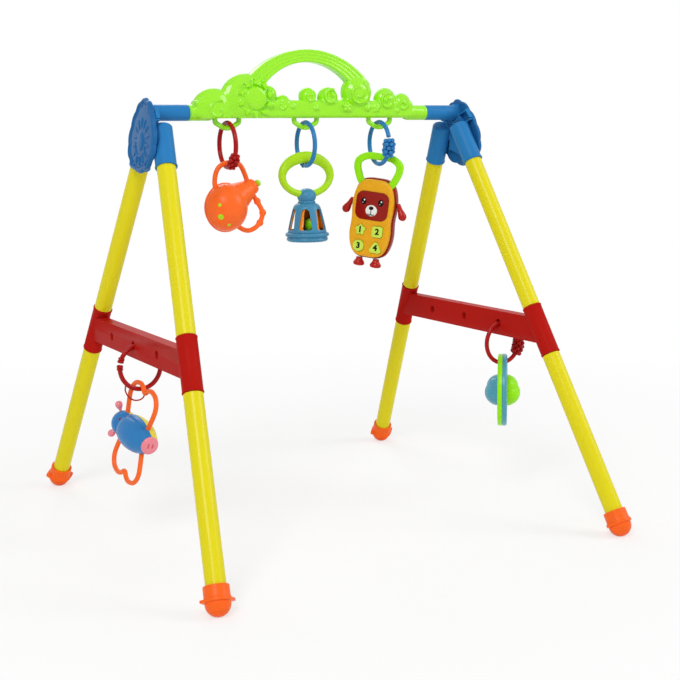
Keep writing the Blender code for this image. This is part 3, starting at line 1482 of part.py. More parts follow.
def build_toys():
    lime = plastic("lime", LIME, 0.30)
    paint = {
        "lime": lime,
        "amber": plastic("amber shell", AMBER, 0.30),
        "maroon": plastic("maroon shell", MAROON, 0.25),
        "red": plastic("red limb", RED, 0.30),
        "orange": plastic("orange handle", ORANGE, 0.35),
        "blue": plastic("blue shell", BLUE, 0.30),
        "sunny": plastic("yellow shell", SUNNY, 0.30),
        "pink": plastic("pink", PINK, 0.35),
        "teal": plastic("teal", TEAL, 0.30),
    }
    link_red = plastic("red link", MAROON, 0.25)
    link_blue = plastic("blue link", BLUE, 0.25)
    front_first = (0, -1, 0)
    full = (BERRY_LENGTH, BERRY_D)
    small = (BERRY_LENGTH * 0.42, BERRY_D * 0.72)
    lefts, middles, rights = loop_centres()
    holds = (
        ("rattle", (lefts, 0, LOOP_ROD_Z), link_red, math.radians(148), [(-1, *full)]),
        ("bell", (middles, 0, LOOP_ROD_Z), link_blue, math.radians(236), [(-1, *small)]),
        ("phone", (rights, 0, LOOP_ROD_Z), link_blue, math.radians(62), [(1, *full)]),
    )
    hangers = {}
    for toy, spot, material, gap_at, ends in holds:
        swing = pivot(f"{toy}_link_pivot", spot)
        rise = BAR_LINK_TOP - LOOP_ROD_Z
        link_ring(f"{toy}_link", (0, 0, rise), front_first, gap_at, ends, material, swing)
        hangers[toy] = (swing, rise - LINK_DROP)
    for toy, side, hole_y, gap_at, ends in (
        ("piglet", -1, 0.0, math.radians(282), [(1, *small), (-1, *small)]),
        ("petal", 1, -BEAM_HOLE_SPACING, math.radians(66), [(1, *full)]),
    ):
        swing = pivot(f"{toy}_link_pivot", (side * BEAM_X, hole_y, BEAM_Z))
        link_ring(f"{toy}_link", (0, 0, 0), (1, 0, 0), gap_at, ends, link_red, swing)
        hangers[toy] = (swing, -LINK_DROP)
    carriers = {
        toy: pivot(f"{toy}_pivot", (0, 0, drop), parent=swing) for toy, (swing, drop) in hangers.items()
    }
    rattle(carriers["rattle"], paint["orange"], paint["orange"], lime)
    bell(carriers["bell"], lime, paint["teal"], paint["orange"], lime)
    turn = Matrix.Rotation(PHONE_YAW, 4, "Z") @ Matrix.Rotation(PHONE_ROLL, 4, "Y")
    phone(pivot("phone_turn", (0, 0, SLANT_RISE["phone"]), turn, carriers["phone"]), paint)
    lobe = Vector((0, PIGLET_HANG_OUT, PIGLET_LOBE_REACH))
    nod = Matrix.Rotation(PIGLET_YAW, 4, "Z") @ Matrix.Rotation(PIGLET_TILT, 4, "X")
    tilt = nod @ Matrix.Rotation(PIGLET_LEAN, 4, "Y")
    rise = Vector((0, 0, HANG_RISE + PIGLET_HANDLE_D / 2 + SLANT_RISE["piglet"]))
    piglet(pivot("piglet_turn", rise - tilt.to_3x3() @ lobe, tilt, carriers["piglet"]), paint)
    yaw = Matrix.Rotation(PETAL_BALL_YAW, 4, "Z")
    petal_frame = pivot("petal_turn", (0, 0, SLANT_RISE["petal"]), yaw, carriers["petal"])
    spinner = pivot("petal_spin_pivot", (0, 0, HANG_RISE - RING_D / 2 + RING_BAND), parent=petal_frame)
    petal_ball(petal_frame, spinner, paint)


def build_bar():
    green = plastic("cloud green", GREEN, 0.30)
    cloud_bar(green, green)


build_frames()
build_bar()
build_toys()
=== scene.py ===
"""Looks of a baby play gym: moulded plastic frame, cloud bar, link rings and five hanging toys.

Metres, +Z up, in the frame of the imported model: +X along the bar, the front is -Y, and the origin is on
the floor under the middle of the bar.
"""

import json
import logging
import math
from dataclasses import dataclass, field
from enum import Enum
from typing import Any, Callable, Iterable, Sequence

import bmesh
import bpy
from mathutils import Matrix, Vector

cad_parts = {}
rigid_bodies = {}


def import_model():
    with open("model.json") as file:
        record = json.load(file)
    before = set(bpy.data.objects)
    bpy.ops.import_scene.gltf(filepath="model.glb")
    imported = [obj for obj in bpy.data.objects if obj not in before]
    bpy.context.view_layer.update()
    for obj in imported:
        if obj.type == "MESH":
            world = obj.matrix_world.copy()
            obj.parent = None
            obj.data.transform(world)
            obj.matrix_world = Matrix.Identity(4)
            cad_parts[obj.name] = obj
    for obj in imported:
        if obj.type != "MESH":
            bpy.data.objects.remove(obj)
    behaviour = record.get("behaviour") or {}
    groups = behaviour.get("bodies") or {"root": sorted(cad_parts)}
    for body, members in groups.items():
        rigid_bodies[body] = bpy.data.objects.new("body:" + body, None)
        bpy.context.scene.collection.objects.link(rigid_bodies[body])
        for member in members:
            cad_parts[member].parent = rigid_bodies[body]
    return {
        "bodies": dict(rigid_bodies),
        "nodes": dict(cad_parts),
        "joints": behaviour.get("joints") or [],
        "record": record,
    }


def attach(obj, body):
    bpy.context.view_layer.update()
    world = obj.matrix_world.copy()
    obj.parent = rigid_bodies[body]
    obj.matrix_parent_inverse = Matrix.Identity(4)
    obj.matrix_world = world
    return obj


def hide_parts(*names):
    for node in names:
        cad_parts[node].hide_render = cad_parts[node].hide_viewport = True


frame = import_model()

LOG = logging.getLogger("play_gym")
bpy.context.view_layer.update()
SMOOTH_ANGLE = math.radians(38)
IMAGE_SIZE = 680

# Noise scales of the plastic's flow marks, rub marks, orange-peel skin and ripple, per metre.
FLOW, RUB, PEEL, RIPPLE = 11.0, 42.0, 900.0, 65.0

# Heights and lengths that sub-assemblies share.
BAR_Z = 0.5062
BEAM_Z = 0.2352
HUB_SOCKET_Z = 0.4435
TUBE_DEPTH = 0.046
COLLAR_HALF = 0.0324
PETAL_Y = -0.080
BAR_HOOK_Z = 0.4414
BEAM_HOOK_Z = 0.1822
HANG_RISE = 0.0031

Outline = Sequence[tuple[float, float]]
Shape = bpy.types.Object
Socket = bpy.types.NodeSocket


class Side(Enum):
    """The two A-frames, by the sign of X."""

    LEFT = -1
    RIGHT = 1


class End(Enum):
    """The two legs of an A-frame, by the sign of Y."""

    FRONT = -1
    REAR = 1


class Hue(Enum):
    """Plastic colours of the gym, as linear values."""

    TUBE_YELLOW = (0.77, 0.68, 0.008)
    CONNECTOR_RED = (0.46, 0.012, 0.008)
    HUB_BLUE = (0.024, 0.200, 0.49)
    PLATE_BLUE = (0.016, 0.135, 0.36)
    FOOT_ORANGE = (0.98, 0.140, 0.012)
    CLOUD_GREEN = (0.32, 0.84, 0.006)
    LINK_RED = (0.40, 0.006, 0.006)
    LINK_BLUE = (0.030, 0.21, 0.52)
    TOY_ORANGE = (0.98, 0.150, 0.020)
    LEAF_GREEN = (0.42, 0.73, 0.014)
    BELL_BLUE = (0.060, 0.25, 0.43)
    AMBER = (0.84, 0.40, 0.012)
    LINER_ORANGE = (0.93, 0.27, 0.010)
    MAROON = (0.30, 0.008, 0.004)
    PALE_LIME = (0.60, 0.82, 0.09)
    PINK = (0.87, 0.20, 0.27)
    SUNNY = (0.78, 0.66, 0.02)
    TEAL = (0.035, 0.27, 0.42)
    WHITE = (0.86, 0.85, 0.82)
    BLACK = (0.012, 0.011, 0.012)


def operator(operation: str, reflected: bool = False) -> Callable[["Value", Any], "Value"]:
    """A method that adds a Math node of a value and another operand.

    Args:
        operation: the node's operation.
        reflected: whether the other operand comes first.

    Returns:
        The method, for the class body of Value.
    """

    def method(self: "Value", other: Any) -> "Value":
        """The Math node's result."""
        return self.graph.maths(operation, *((other, self) if reflected else (self, other)))

    return method


class Value:
    """A node socket that Python expressions can add Math nodes to."""

    def __init__(self, graph: "Graph", socket: Socket) -> None:
        """Wraps one output socket of a graph."""
        self.graph = graph
        self.socket = socket

    __add__, __radd__ = operator("ADD"), operator("ADD", True)
    __sub__, __rsub__ = operator("SUBTRACT"), operator("SUBTRACT", True)
    __mul__, __rmul__ = operator("MULTIPLY"), operator("MULTIPLY", True)
    __truediv__, __rtruediv__ = operator("DIVIDE"), operator("DIVIDE", True)
    at_most, at_least = operator("MINIMUM"), operator("MAXIMUM")

    def clamped(self, low: float = 0.0, high: float = 1.0) -> "Value":
        """This value held between two numbers."""
        return self.at_most(high).at_least(low)

    def ramp(self, low: float, high: float) -> "Value":
        """0 at and below low, 1 at and above high, straight between them."""
        return ((self - low) / (high - low)).clamped()


class NodeTree:
    """Adds nodes of any kind to a tree and links them."""

    def __init__(self, tree: bpy.types.NodeTree) -> None:
        """Takes the tree as it is."""
        self.tree = tree

    def node(self, kind: str, settings: dict[str, Any] | None = None, **inputs: Any) -> bpy.types.Node:
        """Adds a node.

        Args:
            kind: the node's type, such as ShaderNodeMath.
            settings: attributes that are set before the sockets, such as its operation.
            inputs: socket values or links, by socket name with _ for a space, or by _0, _1 for a place.

        Returns:
            The new node.
        """
        made = self.tree.nodes.new(kind)
        for name, value in (settings or {}).items():
            setattr(made, name, value)
        for name, value in inputs.items():
            place = int(name[1:]) if name[0] == "_" and name[1:].isdigit() else name.replace("_", " ")
            self.feed(made.inputs[place], value)
        return made

    def feed(self, socket: Socket, value: Any) -> None:
        """Links a value or socket to an input, or sets it."""
        source = value.socket if isinstance(value, Value) else value
        if isinstance(source, Socket):
            self.tree.links.new(source, socket)
        else:
            socket.default_value = source


class Graph(NodeTree):
    """Builds the nodes of one material or world."""

    @classmethod
    def of(cls, owner: bpy.types.Material | bpy.types.World) -> "Graph":
        """An empty graph for a material or a world."""
        owner.use_nodes = True
        owner.node_tree.nodes.clear()
        return cls(owner.node_tree)

    def maths(self, operation: str, *operands: Any) -> Value:
        """A Math node of up to three operands."""
        inputs = {f"_{k}": operand for k, operand in enumerate(operands)}
        return Value(self, self.node("ShaderNodeMath", {"operation": operation}, **inputs).outputs[0])

    def blend(self, factor: Any, first: Any, second: Any) -> Socket:
        """A colour Mix node's result."""
        return self.node("ShaderNodeMix", {"data_type": "RGBA"}, _0=factor, _6=first, _7=second).outputs[2]

    def place(self) -> Socket:
        """Object coordinates."""
        return self.node("ShaderNodeTexCoord").outputs["Object"]

    def noise(self, place: Socket, scale: float, detail: float = 2.0) -> Value:
        """A noise pattern's value, from 0 to 1."""
        made = self.node("ShaderNodeTexNoise", Vector=place, Scale=scale, Detail=detail)
        return Value(self, made.outputs["Fac"])


@dataclass(frozen=True)
class MouldedPlastic:
    """A glossy injection-moulded plastic.

    It has a faint flow mottle in its colour, an uneven gloss, the orange-peel skin of a mould, and soft
    rub marks where hands polish it.
    """

    name: str
    hue: Hue
    roughness: float = 0.30
    mottle: float = 0.020
    peel: float = 0.020
    rub: float = 0.05
    coat: float = 0.0
    shine: float = 0.16

    def material(self) -> bpy.types.Material:
        """The material, made on its first use.

        Returns:
            A node material that reads Object coordinates.
        """
        found = bpy.data.materials.get(self.name)
        if found:
            return found
        made = bpy.data.materials.new(self.name)
        graph = Graph.of(made)
        place = graph.place()
        flow = graph.noise(place, FLOW, 3.0)
        rubbed = graph.noise(place, RUB, 4.0).ramp(0.52, 0.72)
        skin = graph.noise(place, PEEL)
        ripple = graph.noise(place, RIPPLE, 1.0)
        colour = (*self.hue.value, 1.0)
        deeper = (*(channel * (1 - self.mottle) for channel in self.hue.value), 1.0)
        base = graph.blend(flow.ramp(0.34, 0.70), deeper, colour)
        gloss = self.roughness + rubbed * self.rub + (flow - 0.5) * 0.03
        relief = skin * 0.35 + ripple
        bump = graph.node("ShaderNodeBump", Strength=self.peel, Distance=0.001, Height=relief)
        shader = graph.node(
            "ShaderNodeBsdfPrincipled",
            Base_Color=base,
            Roughness=gloss.clamped(0.05, 0.9),
            Normal=bump.outputs[0],
            Specular_IOR_Level=self.shine,
            Coat_Weight=self.coat,
            Coat_Roughness=0.12,
        )
        graph.node("ShaderNodeOutputMaterial", {"is_active_output": True}, Surface=shader.outputs[0])
        return made


@dataclass(frozen=True)
class TintedSheet(MouldedPlastic):
    """The same plastic with a second colour inside spheres, which shows as round spots."""

    second: Hue = Hue.PINK
    spots: tuple[tuple[float, float, float, float], ...] = ()
    spot_edge: float = 0.0006

    def material(self) -> bpy.types.Material:
        """The material, with its spots mixed into the base colour."""
        if bpy.data.materials.get(self.name):
            return bpy.data.materials[self.name]
        made = super().material()
        graph = Graph(made.node_tree)
        shader = next(node for node in graph.tree.nodes if node.type == "BSDF_PRINCIPLED")
        base = shader.inputs["Base Color"].links[0].from_socket
        place = graph.place()
        for x, y, z, radius in self.spots:
            apart = graph.node("ShaderNodeVectorMath", {"operation": "DISTANCE"}, _0=place, _1=(x, y, z))
            inside = 1 - Value(graph, apart.outputs["Value"]).ramp(radius - self.spot_edge, radius)
            base = graph.blend(inside, base, (*self.second.value, 1.0))
        graph.feed(shader.inputs["Base Color"], base)
        return made


YELLOW_TUBE = MouldedPlastic("yellow tube", Hue.TUBE_YELLOW, roughness=0.24, mottle=0.015, peel=0.010)
RED_JOINT = MouldedPlastic("red connector", Hue.CONNECTOR_RED, roughness=0.30, shine=0.012)
BLUE_HUB = MouldedPlastic("blue hub", Hue.HUB_BLUE, roughness=0.33, shine=0.08)
BLUE_PLATE = MouldedPlastic("blue plate", Hue.PLATE_BLUE, roughness=0.24, shine=0.07)
ORANGE_FOOT = MouldedPlastic("orange foot", Hue.FOOT_ORANGE, roughness=0.34)
GREEN_CLOUD = MouldedPlastic("cloud green", Hue.CLOUD_GREEN, roughness=0.13, shine=0.50)
RED_LINK = MouldedPlastic("red link", Hue.LINK_RED, roughness=0.22)
BLUE_LINK = MouldedPlastic("blue link", Hue.LINK_BLUE, roughness=0.22)
ORANGE_TOY = MouldedPlastic("toy orange", Hue.TOY_ORANGE, roughness=0.28)
LEAF = MouldedPlastic("leaf green", Hue.LEAF_GREEN, roughness=0.25)
BLUE_BELL = MouldedPlastic("bell blue", Hue.BELL_BLUE, roughness=0.24)
AMBER_SHELL = MouldedPlastic("amber shell", Hue.AMBER, roughness=0.26)
MAROON_SHELL = MouldedPlastic("maroon shell", Hue.MAROON, roughness=0.20, coat=0.05)
LIME_KEY = MouldedPlastic("lime key", Hue.PALE_LIME, roughness=0.30)
PINK_SOFT = MouldedPlastic("pink", Hue.PINK, roughness=0.36)
SUNNY_SHELL = MouldedPlastic("yellow shell", Hue.SUNNY, roughness=0.26)
TEAL_SHELL = MouldedPlastic("teal", Hue.TEAL, roughness=0.26)
WHITE_PRINT = MouldedPlastic("white print", Hue.WHITE, roughness=0.36, mottle=0.004)
BLACK_PRINT = MouldedPlastic("black print", Hue.BLACK, roughness=0.30, mottle=0.01, shine=0.02)
LIME_HANDLE = MouldedPlastic("lime handle", Hue.CLOUD_GREEN, roughness=0.26)
LIME_BALL = MouldedPlastic("lime ball", Hue.CLOUD_GREEN, roughness=0.25)
AMBER_LINER = MouldedPlastic("orange liner", Hue.LINER_ORANGE, roughness=0.32)
RED_LIMB = MouldedPlastic("red limb", Hue.CONNECTOR_RED, roughness=0.22, coat=0.08)
SPOTTED_ORANGE = TintedSheet(
    "spotted orange",
    Hue.TOY_ORANGE,
    roughness=0.28,
    second=Hue.LEAF_GREEN,
    spots=((-0.1347, -0.0202, 0.3978, 0.0024), (-0.1334, -0.0195, 0.3834, 0.0038), (-0.1225, -0.0186, 0.3734, 0.0024)),
)


def new_object(name: str, data: bpy.types.ID, place: Matrix | None = None) -> Shape:
    """A linked object of a mesh, curve, lamp or camera, at the origin or in its place."""
    made = bpy.data.objects.new(name, data)
    bpy.context.scene.collection.objects.link(made)
    if place:
        made.matrix_world = place
    return made


def mesh_object(name: str, mesh: bpy.types.Mesh) -> Shape:
    """An object of a finished mesh, smooth but for its edges."""
    mesh.shade_smooth()
    mesh.set_sharp_from_angle(angle=SMOOTH_ANGLE)
    return new_object(name, mesh)


def face_outwards(edit: bmesh.types.BMesh) -> None:
    """Turns the faces of closed bodies outwards."""
    bmesh.ops.recalc_face_normals(edit, faces=edit.faces)
    if edit.calc_volume(signed=True) < 0:
        bmesh.ops.reverse_faces(edit, faces=edit.faces)


def settled(source: Shape, name: str | None = None) -> Shape:
    """Takes up an object's modifiers, curve and place into one plain mesh.

    Args:
        source: the object, which is removed.
        name: the new name, or None to keep it.

    Returns:
        An object at the origin with a welded mesh whose faces point outwards.
    """
    bpy.context.view_layer.update()
    graph = bpy.context.evaluated_depsgraph_get()
    mesh = bpy.data.meshes.new_from_object(source.evaluated_get(graph))
    mesh.transform(source.matrix_world)
    label = name or source.name
    bpy.data.objects.remove(source)
    edit = bmesh.new()
    edit.from_mesh(mesh)
    bmesh.ops.remove_doubles(edit, verts=edit.verts, dist=0.000004)
    face_outwards(edit)
    edit.to_mesh(mesh)
    edit.free()
    return mesh_object(label, mesh)


def from_bmesh(name: str, edit: bmesh.types.BMesh, place: Matrix | None = None) -> Shape:
    """Makes a settled object of a bmesh, put in its place."""
    face_outwards(edit)
    mesh = bpy.data.meshes.new(name)
    edit.to_mesh(mesh)
    edit.free()
    if place:
        mesh.transform(place)
    return mesh_object(name, mesh)


def column(radius: float, low: float, high: float) -> Outline:
    """The profile of a plain round column between two heights."""
    return (0, high), (radius, high), (radius, low), (0, low)


def lathe(name: str, profile: Outline, place: Matrix | None = None, sides: int = 64) -> Shape:
    """A closed profile of (radius, height) turned about Z.

    Args:
        name: the object's name.
        profile: points down the outer side. An end at radius 0 closes on the axis.
        place: where Z and the origin go.
        sides: facets round the axis.

    Returns:
        The turned object.
    """
    edit = bmesh.new()
    columns = []
    for k in range(sides):
        angle = math.tau * k / sides
        cosine, sine = math.cos(angle), math.sin(angle)
        columns.append([None if r < 1e-7 else edit.verts.new((r * cosine, r * sine, h)) for r, h in profile])
    poles = {i: edit.verts.new((0.0, 0.0, h)) for i, (r, h) in enumerate(profile) if r < 1e-7}
    count = len(profile)
    hollow = not poles
    for k in range(sides):
        here, there = columns[k], columns[(k + 1) % sides]
        for i in range(count if hollow else count - 1):
            j = (i + 1) % count
            loop = [here[i] or poles[i], there[i] or poles[i], there[j] or poles[j], here[j] or poles[j]]
            corners = list(dict.fromkeys(loop))
            if len(corners) > 2:
                edit.faces.new(corners)
    return from_bmesh(name, edit, place)


def ball(name: str, radii: Sequence[float], place: Matrix | None = None, sides: int = 40) -> Shape:
    """An ellipsoid with its poles on Z."""
    edit = bmesh.new()
    scale = Matrix.Diagonal((*radii, 1.0))
    bmesh.ops.create_uvsphere(edit, u_segments=sides, v_segments=sides // 2, radius=1.0, matrix=scale)
    return from_bmesh(name, edit, place)


def block(name: str, low: Sequence[float], high: Sequence[float], edge: float = 0.0) -> Shape:
    """A box between two corners, with rounded edges where edge is over 0."""
    edit = bmesh.new()
    size = Vector(high) - Vector(low)
    middle = (Vector(high) + Vector(low)) / 2
    bmesh.ops.create_cube(edit, size=1.0, matrix=Matrix.Translation(middle) @ Matrix.Diagonal((*size, 1.0)))
    if edge:
        bmesh.ops.bevel(edit, geom=edit.edges[:], offset=edge, segments=4, profile=0.5, affect="EDGES")
    return from_bmesh(name, edit)


def wire(
    name: str,
    path: Sequence[Sequence[float]],
    radius: float,
    closed: bool = False,
    sides: int = 6,
    place: Matrix | None = None,
) -> Shape:
    """A round wire along a path, with 4 + 2 x sides facets and filled ends."""
    curve = bpy.data.curves.new(name, "CURVE")
    curve.dimensions = "3D"
    curve.bevel_depth = radius
    curve.bevel_resolution = sides
    curve.use_fill_caps = True
    spline = curve.splines.new("POLY")
    spline.points.add(len(path) - 1)
    for point, spot in zip(spline.points, path):
        point.co = (*spot, 1.0)
    spline.use_cyclic_u = closed
    return settled(new_object(name, curve, place))


def plate(
    name: str,
    outlines: Sequence[Outline],
    depth: float,
    place: Matrix | None = None,
    edge: float = 0.0,
    segments: int = 3,
) -> Shape:
    """A flat shape in local XY, from z = 0 up to its depth, with holes and rounded edges."""
    curve = bpy.data.curves.new(name, "CURVE")
    curve.dimensions = "2D"
    curve.fill_mode = "BOTH"
    curve.extrude = depth / 2
    for outline in outlines:
        spline = curve.splines.new("POLY")
        spline.points.add(len(outline) - 1)
        for point, (x, y) in zip(spline.points, outline):
            point.co = (x, y, 0.0, 1.0)
        spline.use_cyclic_u = True
    made = settled(new_object(name, curve, Matrix.Translation((0, 0, depth / 2))))
    if edge:
        round_over(made, edge, segments, 50)
        made = settled(made)
    if place:
        made.data.transform(place)
    return made


def round_over(target: Shape, width: float, segments: int = 3, angle: float = 40) -> None:
    """Puts a rounded bevel on the sharp edges."""
    modifier = target.modifiers.new("rounded", "BEVEL")
    modifier.width = width
    modifier.segments = segments
    modifier.limit_method = "ANGLE"
    modifier.angle_limit = math.radians(angle)
    modifier.use_clamp_overlap = True


def skin(name: str, rings: Sequence[Sequence[Vector]], closed: bool = False) -> Shape:
    """A loft over rings of equal count, capped or closed on itself."""
    edit = bmesh.new()
    rows = [[edit.verts.new(point) for point in ring] for ring in rings]
    count = len(rows[0])
    pairs = list(zip(rows, rows[1:])) + ([(rows[-1], rows[0])] if closed else [])
    for low, high in pairs:
        for i in range(count):
            j = (i + 1) % count
            edit.faces.new((low[i], low[j], high[j], high[i]))
    if not closed:
        edit.faces.new(rows[0])
        edit.faces.new(rows[-1])
    return from_bmesh(name, edit)


def solid(target: Shape, tools: Iterable[Shape], operation: str) -> Shape:
    """Joins tools to a target, or cuts them from it, one after another.

    Args:
        target: the object that stays.
        tools: objects that are used up.
        operation: UNION or DIFFERENCE.

    Returns:
        The settled result, under the target's name.
    """
    tools = list(tools)
    for tool in tools:
        modifier = target.modifiers.new(tool.name, "BOOLEAN")
        modifier.operation = operation
        modifier.solver = "EXACT"
        modifier.object = tool
    made = settled(target)
    for tool in tools:
        bpy.data.objects.remove(tool)
    return made


def merged(name: str, parts: Iterable[Shape]) -> Shape:
    """Puts several objects into one mesh without cutting them."""
    edit = bmesh.new()
    for part in list(parts):
        edit.from_mesh(part.data)
        bpy.data.objects.remove(part)
    mesh = bpy.data.meshes.new(name)
    edit.to_mesh(mesh)
    edit.free()
    return mesh_object(name, mesh)


def melted(name: str, parts: Iterable[Shape], grain: float, softening: int = 4, keep: float = 0.5) -> Shape:
    """Runs overlapping closed parts together as one moulding with soft inner corners.

    Args:
        name: the moulding's name.
        parts: closed objects, which are used up.
        grain: the voxel size in metres.
        softening: passes of smoothing.
        keep: the share of faces kept at the end.

    Returns:
        One closed object.
    """
    made = merged(name, parts)
    remesh = made.modifiers.new("melt", "REMESH")
    remesh.mode = "VOXEL"
    remesh.voxel_size = grain
    smooth = made.modifiers.new("soften", "SMOOTH")
    smooth.factor = 0.5
    smooth.iterations = softening
    if keep < 1.0:
        thin = made.modifiers.new("thin", "DECIMATE")
        thin.ratio = keep
    made = settled(made)
    made.data.shade_smooth()
    return made


def sliced(source: Shape, name: str, spot: Sequence[float], outwards: Sequence[float]) -> Shape:
    """Cuts off what lies beyond a plane and closes the cut.

    Args:
        source: a closed object, which is removed.
        name: the new object's name.
        spot: a point on the plane.
        outwards: the direction of what goes.

    Returns:
        The closed rest.
    """
    edit = bmesh.new()
    edit.from_mesh(source.data)
    everything = edit.verts[:] + edit.edges[:] + edit.faces[:]
    cut = bmesh.ops.bisect_plane(edit, geom=everything, plane_co=spot, plane_no=outwards, clear_outer=True)
    rim = [item for item in cut["geom_cut"] if isinstance(item, bmesh.types.BMEdge)]
    bmesh.ops.triangle_fill(edit, edges=rim, use_beauty=True)
    bpy.data.objects.remove(source)
    return from_bmesh(name, edit)


def halved(source: Shape, names: tuple[str, str], place: Matrix, gap: float) -> list[Shape]:
    """Splits an object into two shells with a fine seam.

    Args:
        source: a closed object, which is removed.
        names: the piece behind the plane, then the piece on its normal's side.
        place: its origin is on the plane and its Z is the normal.
        gap: the width of the seam.

    Returns:
        The two closed pieces.
    """
    normal = (place.to_3x3() @ Vector((0, 0, 1))).normalized()
    other = new_object(names[1], source.data.copy())
    behind = sliced(source, names[0], place.translation - normal * gap / 2, normal)
    ahead = sliced(other, names[1], place.translation + normal * gap / 2, -normal)
    return [behind, ahead]


def smooth_path(points: Sequence[Sequence[float]], spans: int = 8, closed: bool = False) -> list[Vector]:
    """Points on a smooth curve through the given ones, which have two or three numbers each."""
    given = [Vector(point) for point in points]
    count = len(given)
    path = []
    for i in range(count if closed else count - 1):
        if closed:
            before, start, end, after = (given[(i + k) % count] for k in (-1, 0, 1, 2))
        else:
            before, start = given[max(i - 1, 0)], given[i]
            end, after = given[i + 1], given[min(i + 2, count - 1)]
        for k in range(spans):
            t = k / spans
            second = (2 * before - 5 * start + 4 * end - after) * t**2
            third = (3 * start - before - 3 * end + after) * t**3
            path.append(0.5 * (2 * start + (end - before) * t + second + third))
    if not closed:
        path.append(given[-1])
    return path


def rounded_box(width: float, height: float, radius: float, steps: int = 8) -> list[tuple[float, float]]:
    """A rectangle outline with round corners, centred on the origin."""
    outline = []
    for quarter in range(4):
        x = (width / 2 - radius) * (1 if quarter in (0, 3) else -1)
        y = (height / 2 - radius) * (1 if quarter in (0, 1) else -1)
        for k in range(steps + 1):
            angle = math.pi / 2 * (quarter + k / steps)
            outline.append((x + radius * math.cos(angle), y + radius * math.sin(angle)))
    return outline


def towards_front(spot: Sequence[float] = (0.0, 0.0, 0.0)) -> Matrix:
    """Turns local XY into the XZ plane, with local Z towards the front."""
    return Matrix.Translation(spot) @ Matrix.Rotation(math.pi / 2, 4, "X")


def along_bar(side: Side, height: float) -> Matrix:
    """Puts local Z on the bar's axis at a height, towards a side."""
    return Matrix.Translation((0, 0, height)) @ Matrix.Rotation(side.value * math.pi / 2, 4, "Y")


def along(direction: Sequence[float], spot: Sequence[float] = (0.0, 0.0, 0.0)) -> Matrix:
    """Puts local Z along a direction from a spot."""
    turn = Vector(direction).normalized().to_track_quat("Z", "Y").to_matrix().to_4x4()
    return Matrix.Translation(spot) @ turn


class PatternTree(NodeTree):
    """Builds a Geometry Nodes tree and runs it on an empty carrier mesh."""

    def __init__(self, name: str) -> None:
        """Starts a tree with one geometry input and output."""
        super().__init__(bpy.data.node_groups.new(name, "GeometryNodeTree"))
        for way in ("INPUT", "OUTPUT"):
            self.tree.interface.new_socket("Geometry", in_out=way, socket_type="NodeSocketGeometry")
        self.entry = self.tree.nodes.new("NodeGroupInput")
        self.exit = self.tree.nodes.new("NodeGroupOutput")
        self.sizes: dict[str, Any] = {}

    def size(self, name: str, kind: str, value: Any) -> Socket:
        """A named input of the tree and the value it gets."""
        item = self.tree.interface.new_socket(name, in_out="INPUT", socket_type=f"NodeSocket{kind}")
        self.sizes[item.identifier] = value
        return self.entry.outputs[name]

    def carried(self, name: str, piece: Shape) -> Socket:
        """The geometry of an object that comes in by a named input."""
        source = self.size(name, "Object", piece)
        info = self.node("GeometryNodeObjectInfo", {"transform_space": "RELATIVE"}, Object=source)
        return info.outputs["Geometry"]

    def grown(self, name: str, geometry: Socket, finish: MouldedPlastic) -> Shape:
        """Ends the tree in Realize Instances and Set Material and makes its result a plain mesh.

        Args:
            name: the new object's name.
            geometry: what the tree has made.
            finish: the finish of the result.

        Returns:
            A plain mesh object at the origin.
        """
        real = self.node("GeometryNodeRealizeInstances", Geometry=geometry)
        dressed = self.node("GeometryNodeSetMaterial", Geometry=real.outputs[0], Material=finish.material())
        self.tree.links.new(dressed.outputs[0], self.exit.inputs[0])
        carrier = new_object(name, bpy.data.meshes.new(name))
        modifier = carrier.modifiers.new("pattern", "NODES")
        modifier.node_group = self.tree
        for identifier, value in self.sizes.items():
            modifier[identifier] = value
        return settled(carrier)


def beads_over(name: str, core: Shape, bead: float, finish: MouldedPlastic) -> Shape:
    """Small balls on every point of a coarse core, which show as a bunch.

    Args:
        name: the bunch's name.
        core: a coarse closed mesh, which is removed.
        bead: the radius of a ball.
        finish: the finish of the balls.

    Returns:
        The bunch as a plain mesh.
    """
    pattern = PatternTree(name)
    bead_radius = pattern.size("Bead Radius", "Float", bead)
    places = pattern.carried("Core", core)
    berry = pattern.node("GeometryNodeMeshIcoSphere", Radius=bead_radius, Subdivisions=3)
    spread = pattern.node("GeometryNodeInstanceOnPoints", Points=places, Instance=berry.outputs[0])
    made = pattern.grown(name, spread.outputs[0], finish)
    bpy.data.objects.remove(core)
    return made


